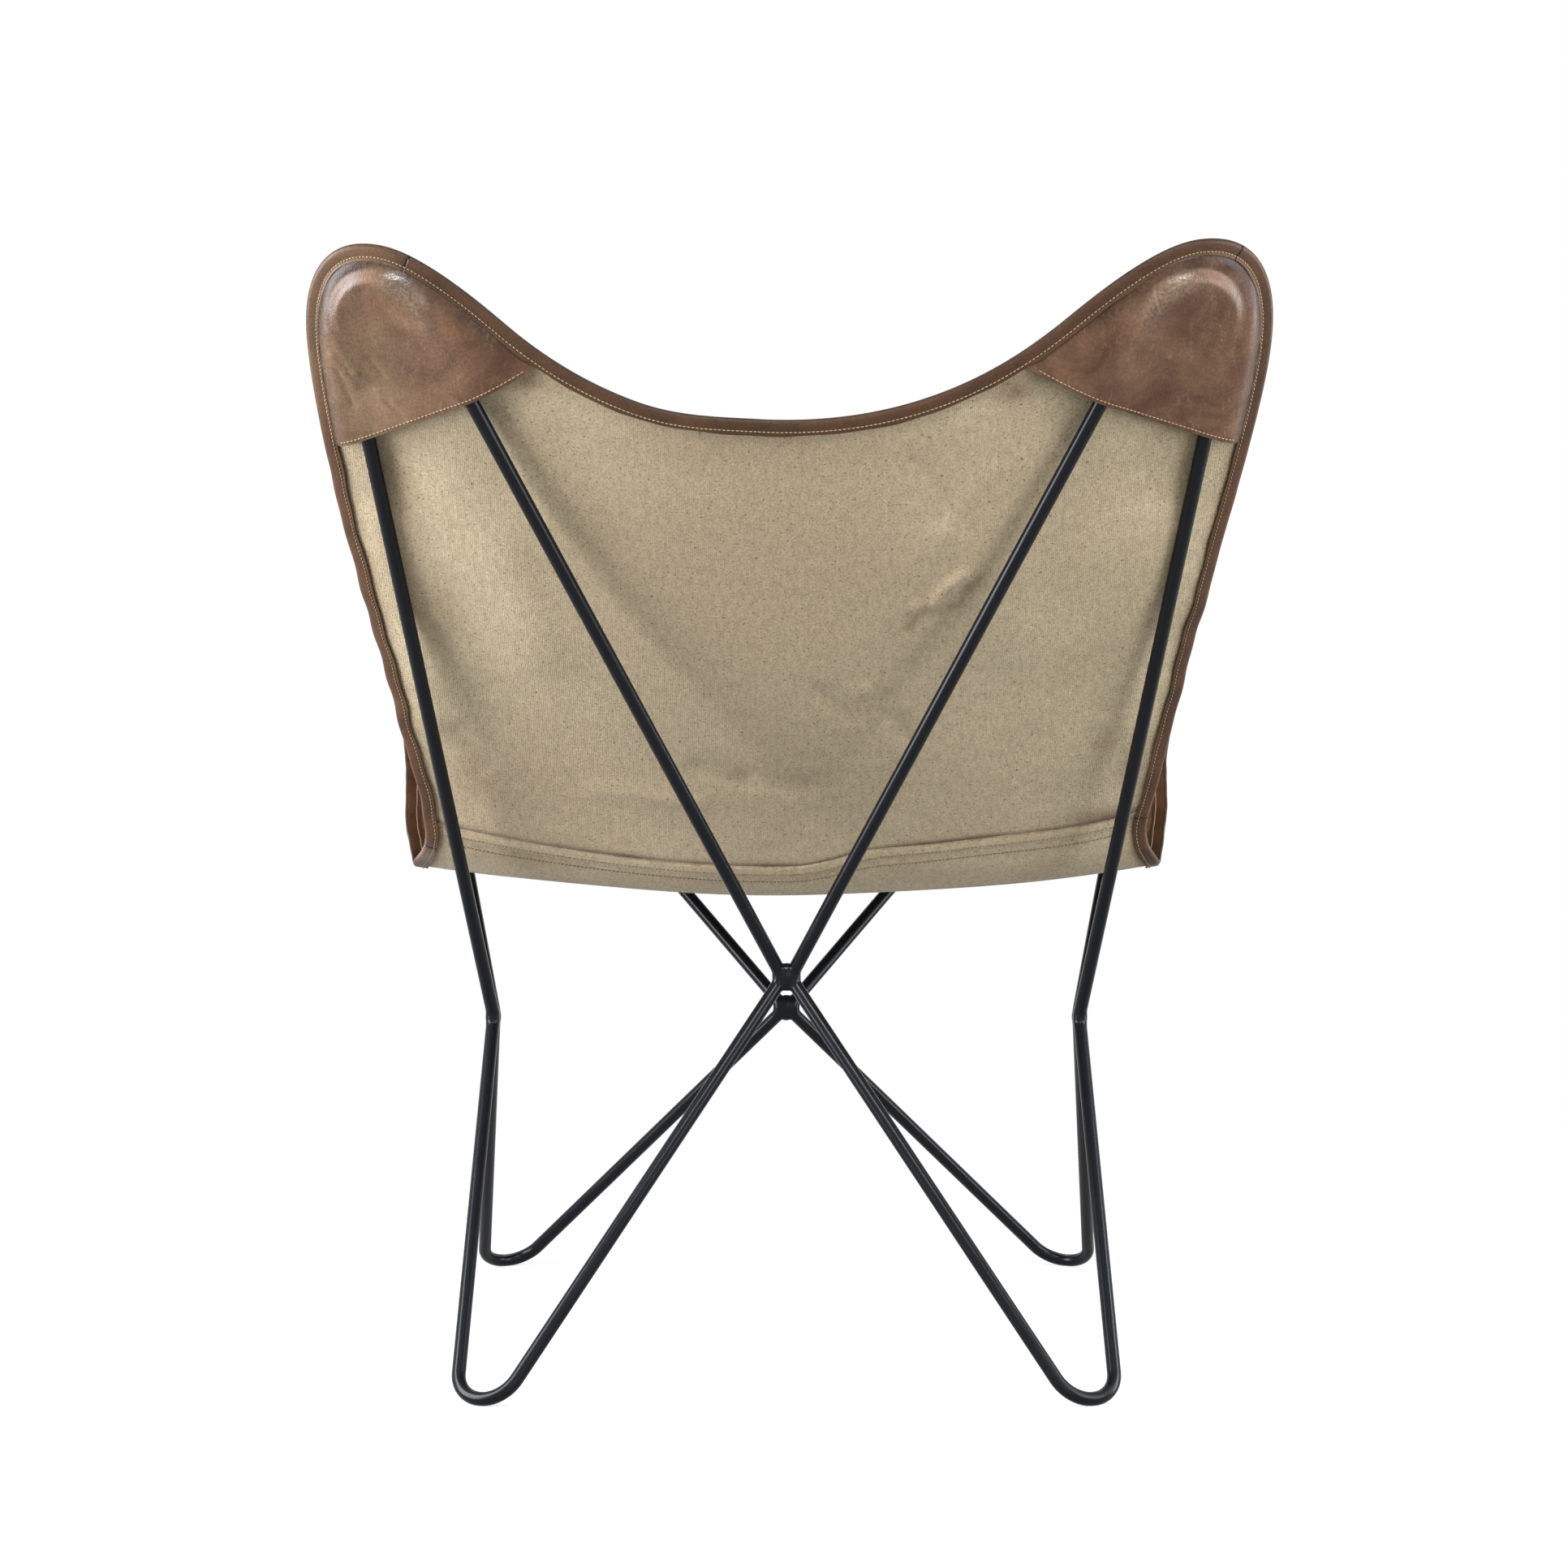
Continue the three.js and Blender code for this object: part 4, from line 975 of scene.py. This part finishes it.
HIDE = hide("waxed vegetable-tanned leather", HIDE_COLOURS, 0.38, 0.5)
pockets = []
ENDS = {"rear": (REAR, back_way, 0.0, 1), "front": (FRONT, front_way, FRONT_T, -1)}
for end, (plane, way, start_t, down) in ENDS.items():
    for hand, side in HANDS:
        inner = HEM_INNER[f"{end}_{hand}"]
        if end == "rear":
            rim_s = REAR_MARKS[0] - inner, side_length(HEM_OUTER)
        else:
            rim_s = HALF_EDGE - FRONT_MARKS[0] + inner, side_length(FRONT_T - HEM_OUTER)
        cad_node = f"{end}_{hand}_pocket"
        bar = flat_bar(plane, bar_paths[f"{end}_left_upper_rod"], way, start_t) * (side, 1)
        rim = edge_at(side * np.linspace(*rim_s, POCKET_COLUMNS), POCKET_RIM)
        corner = {
            "plane": plane, "bar": bar, "rim": rim, "rim_s": sorted(rim_s), "side": side, "down": down}
        pockets.append(corner)
        u = np.linspace(*HEM_SHARE, POCKET_COLUMNS)
        v = (np.linspace(0, 1, POCKET_ROWS) ** ROW_CROWD)[:, None, None]
        places = (1 - v) * rim + v * hem_at(corner, u)
        height, to_bar, to_rim, from_tip = pocket_height(places, corner)
        out, span = np.abs(places[..., 0]), to_bar + to_rim
        tip_x = np.abs(bar[np.argmin(bar[:, 1] * down), 0])
        wear = bell(to_bar / 8) * (0.08 + 0.9 * bell(from_tip / 30))
        wear = wear * (1 - 0.85 * ramp(out, tip_x - 8, tip_x + 8))
        # Painted shade: darker in the crevice by the rim where the way from the bar is short, and on the
        # flank beyond the tip. The patch is also a little darker far from the bars where the way to the
        # rim is long.
        rim_shade = bell(to_rim / 7.5) * ramp(span, 60, 30)
        slack = ramp(to_bar, 0, 25) * ramp(span, 35, 65)
        shade, flank = POCKET_SHADE[hand]
        tone = hide_tone(places) - 0.58 * rim_shade - 0.1 * slack
        tone = tone - shade - flank * ramp(out, tip_x + 4, tip_x + 16)
        piece = mesh_piece(
            cad_node + "_patch", sheet(places, height),
            grid_faces(1, POCKET_ROWS, POCKET_COLUMNS, flip=side * down < 0), HIDE, "brown_leather",
            [cad_node], uv=places, wear=wear, tone=tone, pull=PULLED * spot(places, *PULLED_SPOT))
        give_wall(piece, POCKET_WALL, edge=POCKET_EDGE)
        flat_size(places)
        flat_area(places)


# Edge binding
# Six strips of thin dark leather are folded over the edges of leather and canvas and sewn through,
# with raw inner edges. They butt at joints near the peaks and where the side passes the crease.

BINDING = 1.3
# Joints as lengths of edge past the peaks, and on the left past the seam, and half the gap in them.
LEFT_JOINT = -24.0
FAR_JOINT = 32.0
CREASE_JOINT = 26.0
JOINT_HALF = 0.15
WRINKLE = 0.35
WRINKLE_PITCH = 3.1
STITCH_DEPTH = 8.8
BINDING_STEP = 1.6
FRONT_FACE = FACE_GAP + LEATHER + BAR_GAP
REAR_FACE = CANVAS_BACK - BAR_GAP
FOLD_STEPS = 11
LEG_INSIDE = 0.1
RIM_CLIMB = 12.0
# Each leg of a strip from its raw edge: depth from the sling's edge, and height above the leg's face,
# which the stitches draw in.
LEGS = ((BINDING_WIDTH, -0.4), (11.6, 0.0), (10.4, 0.0), (STITCH_DEPTH, -0.25), (7.2, 0.0), (5.4, 0.0))


def binding_section():
    """Closed section of a folded strip as (depth, height, lift) points: the rear leg from its raw
    edge to the fold, half an ellipse round the edge, the front leg, and back along the inside. lift
    is how far a point follows a raw edge that stands off, from 0 at the stitches to 1."""
    middle, half = (FRONT_FACE + REAR_FACE) / 2, (FRONT_FACE - REAR_FACE) / 2
    outer, inside = half + BINDING, half + LEG_INSIDE
    turn = np.linspace(-np.pi / 2, np.pi / 2, FOLD_STEPS)
    lifts = [float(ramp(depth, STITCH_DEPTH, BINDING_WIDTH)) for depth, _ in LEGS]
    points = [(depth, middle - outer - proud, -lift) for (depth, proud), lift in zip(LEGS, lifts)]
    points += [(outer * (1 - np.cos(a)), middle + outer * np.sin(a), 0.0) for a in turn]
    points += [(depth, middle + outer + proud, lift) for (depth, proud), lift in zip(LEGS, lifts)][::-1]
    points += [(BINDING_WIDTH, middle + inside, 1.0), (STITCH_DEPTH, middle + half, 0.0)]
    points += [(outer - half * np.cos(a), middle + half * np.sin(a), 0.0) for a in turn[::-2]]
    points += [(STITCH_DEPTH, middle - half, 0.0), (BINDING_WIDTH, middle - inside, -1.0)]
    return np.array(points)


SECTION = binding_section()
SECTION_RUN = run_length(SECTION[:, :2])


def raw_edge(s):
    """How far a strip's raw edge lifts on the two faces, and how its width wanders. Over a pocket the
    rear leg has to climb onto the patch."""
    own, side = left_half(s)
    wander = 0.35 * np.sin(s / 17) + 0.25 * np.sin(s / 6.3 + 1) + 0.2 * np.sin(s / 41 + 2)
    over = 0.0
    for corner in pockets:
        first, last = corner["rim_s"]
        there = ramp(own, first, first + RIM_CLIMB) * ramp(own, last, last - RIM_CLIMB)
        over = over + np.where(side == corner["side"], there, 0.0)
    loose = 0.3 + 0.2 * np.sin(s / 23 + 0.5)
    return loose + 1.5 * over, loose, wander


DARK_HIDE = hide("thin dark leather strip", ("#392619", "#4c3323", "#6f573f"), 0.42, 0.12)
clean_s = side_length(HEM_OUTER)
rear_joints = REAR_MARKS[1] + LEFT_JOINT, REAR_MARKS[1] + FAR_JOINT
front_joint = HALF_EDGE - FRONT_MARKS[1] - FAR_JOINT
STRIPS = {
    "top_binding": (-rear_joints[1], rear_joints[0]),
    "left_back_binding": (rear_joints[0], SEAM_S + CREASE_JOINT),
    "left_seat_binding": (SEAM_S + CREASE_JOINT, front_joint),
    "front_binding": (front_joint, 2 * HALF_EDGE - front_joint),
    "right_seat_binding": (-front_joint, -SEAM_S),
    "right_back_binding": (-SEAM_S, -rear_joints[1]),
}
for cad_node, (start, stop) in STRIPS.items():
    rows = int(abs(stop - start) / BINDING_STEP)
    s = np.linspace(min(start, stop) + JOINT_HALF, max(start, stop) - JOINT_HALF, rows)[:, None]
    rear_lift, front_lift, wander = raw_edge(s)
    lift = SECTION[:, 2]
    depth = SECTION[:, 0] + np.abs(lift) * wander
    height = SECTION[:, 1] + np.where(lift < 0, lift * rear_lift, lift * front_lift)
    own = left_half(s)[0]
    gathered = ramp(rear_joints[0] - own, 95, 65) * ramp(rear_joints[0] - own, 3, 13)
    on_leg = ramp(depth, 3, 6) * (SECTION[:, 1] < REAR_FACE)
    height = height - WRINKLE * gathered * on_leg * np.sin(2 * np.pi * s / WRINKLE_PITCH + np.sin(s / 7))
    places = edge_at(s, depth)
    to_joint = np.minimum(s - s[0], s[-1] - s)
    from_seam = own - SEAM_S
    # Painted shade on the strips' front face along the seat, from the crease forwards, where little light
    # reaches: dulled darkens it and takes its reflection away.
    dulled = ramp(from_seam, 0, 40) * ramp(from_seam, 480, 330) * (SECTION[:, 1] > FRONT_FACE)
    # Near the crease joint the strip is worn pale and shiny, which also paints in a highlight there.
    wear = 1.6 * bell((s - SEAM_S - CREASE_JOINT - 14) / 13) - 0.3 * dulled
    # The fold is darkened all along as painted shade where the side light falls on it, and made paler near
    # the crease, where it is worn and a highlight is painted in.
    fold_wear_and_shade = bell(depth / 1.3) * (1.2 * bell(from_seam / 70) - 0.5)
    # The strips are darker at the joints, darker about 80 mm past the seam as painted shade, and darker
    # where dulled as painted shade.
    tone = fold_wear_and_shade - 0.7 * bell(to_joint / 0.9) - 0.4 * bell((from_seam - 80) / 42) - 0.2 * dulled
    clean = ramp(s, rear_joints[0], rear_joints[0] + 20) * ramp(s, clean_s, clean_s - 60)
    uv = np.stack(np.broadcast_arrays(s, SECTION_RUN), axis=-1)
    mesh_piece(
        cad_node + "_strip", sheet(places, height),
        grid_faces(1, rows, len(SECTION), wrap=True, capped=True), DARK_HIDE, "dark_leather_edge",
        [cad_node], uv=uv, wear=wear, tone=tone, pull=0.1 + 0.3 * clean)


# Sewing thread
# Waxed linen thread runs in one row round the binding, through to the other face, along each pocket's
# hem and beside the crease seam, tan or soiled brown. Each stitch is an arch that dips into its holes.

STITCH_PITCH = 3.2
STITCH_LENGTH = 2.7
STITCH_RINGS = 5
STITCH_SIDES = 6
THREAD_R = 0.5
THREAD_SUNK = 0.2
HEM_ROW = 2.8
HEM_START = 9.0
SEAM_START = 4.0
FELL_TOP = 1.15


def waxed_thread(name, clean, grimy):
    """Waxed linen thread, slightly shiny, darker where the wax has caught dirt. Its twist is too fine
    to show."""
    material, tree, shader = new_finish(name)
    place = node(tree, "TexCoord", out="Object")
    grime = node(tree, "TexNoise", {"Vector": place, "Scale": per_metre(9), "Detail": 3.0})
    colour = node(tree, "Mix", {
        SHARE: grime, FIRST: linear(clean), SECOND: linear(grimy)}, data_type="RGBA")
    wire(tree, shader, {"Base Color": colour, "Roughness": 0.55})
    return material


def stitch_row(line, start, stop):
    """Stitches along a line, which gives points and outward normals at lengths: rings
    r (b cos f + n sin f) on an arch, r = R sqrt(1 - 0.9 u^2), raised by R (0.9 - 1.5 u^2)."""
    count = int(abs(stop - start) / STITCH_PITCH)
    centre = start + (np.arange(count) + 0.5) * (stop - start) / count
    u = np.linspace(-1, 1, STITCH_RINGS)
    points, normals = line(centre[:, None] + u * STITCH_LENGTH / 2)
    tangents = unit(np.gradient(points, axis=1))
    b = np.cross(normals, tangents)
    f = round_angles(STITCH_SIDES)[:, None]
    radius = (THREAD_R * np.sqrt(1 - 0.9 * u * u))[:, None, None]
    arch = points + normals * (THREAD_R * (0.9 - 1.5 * u * u))[:, None]
    return arch[:, :, None] + radius * (b[:, :, None] * np.cos(f) + normals[:, :, None] * np.sin(f))


def on_sheet(place_at, height_at, face):
    """Line for stitches on one face of the sling: face is 1 on the sitter's side and -1 behind."""
    def line(s):
        places = place_at(s)
        _, normal = sheet_frame(places[..., 0], places[..., 1])
        return sheet(places, height_at(places)), normal * face
    return line


def sew(name, rows, thread):
    """One piece of thread from rows of stitches."""
    stitches = np.concatenate(rows)
    faces = grid_faces(len(stitches), STITCH_RINGS, STITCH_SIDES, wrap=True, capped=True)
    mesh_piece(name, stitches, faces, thread, "beige_canvas")


TAN_THREAD = waxed_thread("tan waxed linen thread", "#a08b66", "#735d42")
BROWN_THREAD = waxed_thread("soiled linen thread", "#7d6844", "#57442c")
rear_top, front_top = REAR_FACE - BINDING + THREAD_SUNK, FRONT_FACE + BINDING - THREAD_SUNK
# Rows round the binding: height, face, first and last length of edge, and thread.
BINDING_ROWS = {
    "binding_top_stitches": (rear_top, -1, (-clean_s, clean_s), TAN_THREAD),
    "binding_side_stitches": (rear_top, -1, (clean_s, 2 * HALF_EDGE - clean_s), BROWN_THREAD),
    "binding_front_stitches": (front_top, 1, (-HALF_EDGE, HALF_EDGE), BROWN_THREAD),
}
for name, (height, face, span, thread) in BINDING_ROWS.items():
    line = on_sheet(lambda s: edge_at(s, STITCH_DEPTH), lambda places, height=height: height, face)
    sew(name, [stitch_row(line, *span)], thread)

hem_rows = []
for corner in pockets:
    hem_length = float(np.linalg.norm(corner["rim"][-1] - corner["rim"][0]))
    line = on_sheet(
        lambda s, corner=corner, length=hem_length: hem_at(corner, s / length, HEM_ROW),
        lambda places, corner=corner: pocket_height(places, corner)[0] - POCKET_WALL, -1)
    hem_rows.append(stitch_row(line, HEM_START, hem_length - HEM_START))
sew("pocket_hem_stitches", hem_rows, TAN_THREAD)

# Rows beside the seam: face, thread, and for each row its place beside the seam and its height.
SEAM_ROWS = {
    "canvas_seam_stitches": (-1, BROWN_THREAD, ((8.5, CANVAS_BACK - FELL_TOP), (19.0, CANVAS_BACK))),
    "leather_seam_stitches": (1, TAN_THREAD, ((-6.0, FACE_GAP + LEATHER), (6.0, FACE_GAP + LEATHER))),
}
seam_span = SEAM_START - fell_half, fell_half - SEAM_START
for name, (face, thread, rows) in SEAM_ROWS.items():
    lines = [
        on_sheet(lambda x, beside=beside: seam_at(x, beside), lambda places, height=height: height, face)
        for beside, height in rows
    ]
    sew(name, [stitch_row(line, *seam_span) for line in lines], thread)


# Stage
# A pale studio floor that keeps the chair's soft shadow, in a white room. Softboxes low at both sides
# graze the canvas, one overhead and one in front light the rest, and a weak one fills beside the camera.

FLOOR_HALF = 6.0
SHADOW_NEAR = 0.5
SHADOW_FAR = 1.3
SHADOW_KEPT = 0.22
ROOM_LIGHT = 0.18
TARGET = np.array([0.0, 0.05, 0.5])


def seen_white(tree):
    """1 for the rays that show the background: from the camera, off gloss and through glass."""
    rays = ("Is Camera Ray", "Is Glossy Ray", "Is Transmission Ray")
    camera, gloss, glass = (node(tree, "LightPath", out=ray) for ray in rays)
    shown = node(tree, "Math", {0: camera, 1: gloss}, operation="MAXIMUM")
    return node(tree, "Math", {0: shown, 1: glass}, operation="MAXIMUM")


def studio_floor():
    """Matt white studio paint. To the camera it fades to plain white away from the chair, and the chair
    gets the light of a greyer floor, so that little comes from below."""
    material, tree, shader = new_finish("matt white studio paint")
    place = node(tree, "TexCoord", out="Object")
    away = node(tree, "VectorMath", {0: place}, operation="LENGTH")
    fade = node(tree, "MapRange", {
        "Value": away, "From Min": SHADOW_NEAR, "From Max": SHADOW_FAR,
        "To Min": 1 - SHADOW_KEPT, "To Max": 1.0}, interpolation_type="SMOOTHSTEP")
    share = node(tree, "Math", {0: seen_white(tree), 1: fade}, operation="MULTIPLY")
    white = node(tree, "Emission", {"Color": linear("#ffffff"), "Strength": 1.0})
    paint = node(tree, "Mix", {
        SHARE: node(tree, "LightPath", out="Is Camera Ray"), FIRST: linear("#8c8c8c"),
        SECOND: linear("#f4f4f4")}, data_type="RGBA")
    wire(tree, shader, {"Base Color": paint, "Roughness": 0.9, "Specular IOR Level": 0.0})
    mixed = node(tree, "MixShader", {0: share, 1: shader.outputs["BSDF"], 2: white})
    wire(tree, tree.nodes["Material Output"], {"Surface": mixed})
    return material


def softbox(name, azimuth, elevation, distance, size, power, tint="#ffffff"):
    """Softbox aimed at the chair. Its azimuth is from the chair's back, towards its left, its distance
    and size are in metres, and its power is in watts."""
    lamp = bpy.data.lights.new(name, "AREA")
    lamp.shape = "RECTANGLE"
    lamp.size, lamp.size_y = size
    lamp.energy = power
    lamp.color = linear(tint)[:3]
    box = put(name, lamp)
    turn, rise = radians(azimuth), radians(elevation)
    way = np.array([np.cos(rise) * np.sin(turn), np.cos(rise) * np.cos(turn), np.sin(rise)])
    box.location = (TARGET + way * distance).tolist()
    box.rotation_euler = (radians(90) - rise, 0, radians(180) - turn)


corners = np.array([(-1, -1, 0), (1, -1, 0), (1, 1, 0), (-1, 1, 0)]) * FLOOR_HALF
floor_mesh = bpy.data.meshes.new("studio_floor")
floor_mesh.from_pydata(corners.tolist(), [], [(0, 1, 2, 3)])
floor_mesh.materials.append(studio_floor())
put("studio_floor", floor_mesh)

DAYLIGHT = "#f3f7ff"
softbox("left strip", 70, 13, 1.6, (0.8, 1.4), 77, DAYLIGHT)
softbox("right softbox", -56, 14, 1.8, (0.9, 1.2), 31, DAYLIGHT)
softbox("right strip", -88, 8, 1.6, (0.16, 1.5), 22, DAYLIGHT)
softbox("overhead softbox", -4, 46, 2.3, (1.3, 0.3), 37)
softbox("camera fill", -10, 8, 3.2, (1.4, 1.0), 8)
softbox("front softbox", 180, 40, 2.6, (1.6, 1.0), 26)

world = bpy.data.worlds.new("white studio")
world.use_nodes = True
bpy.context.scene.world = world
tree = world.node_tree
level = node(tree, "MapRange", {"Value": seen_white(tree), "To Min": ROOM_LIGHT, "To Max": 1.0})
wire(tree, tree.nodes["Background"], {"Color": linear("#ffffff"), "Strength": level})


# Camera
# Behind the chair at about the height of its back, with a long lens, tilted slightly down. Its place
# and lens are solved from the frame's welds, peaks and feet.

IMAGE = 1932
FOCAL_PX = 4465
SHIFT_PX = -3
SENSOR = 36.0
CAMERA_PLACE = (0.0, 3.023, 0.685)
CAMERA_TILT = 4.28
camera_data = bpy.data.cameras.new("camera")
camera_data.sensor_width = SENSOR
camera_data.lens = SENSOR * FOCAL_PX / IMAGE
camera_data.shift_x = SHIFT_PX / IMAGE
camera = put("camera", camera_data)
camera.location = CAMERA_PLACE
camera.rotation_euler = (radians(90 - CAMERA_TILT), 0.0, radians(180))
bpy.context.scene.camera = camera
bpy.context.scene.view_settings.view_transform = "Standard"
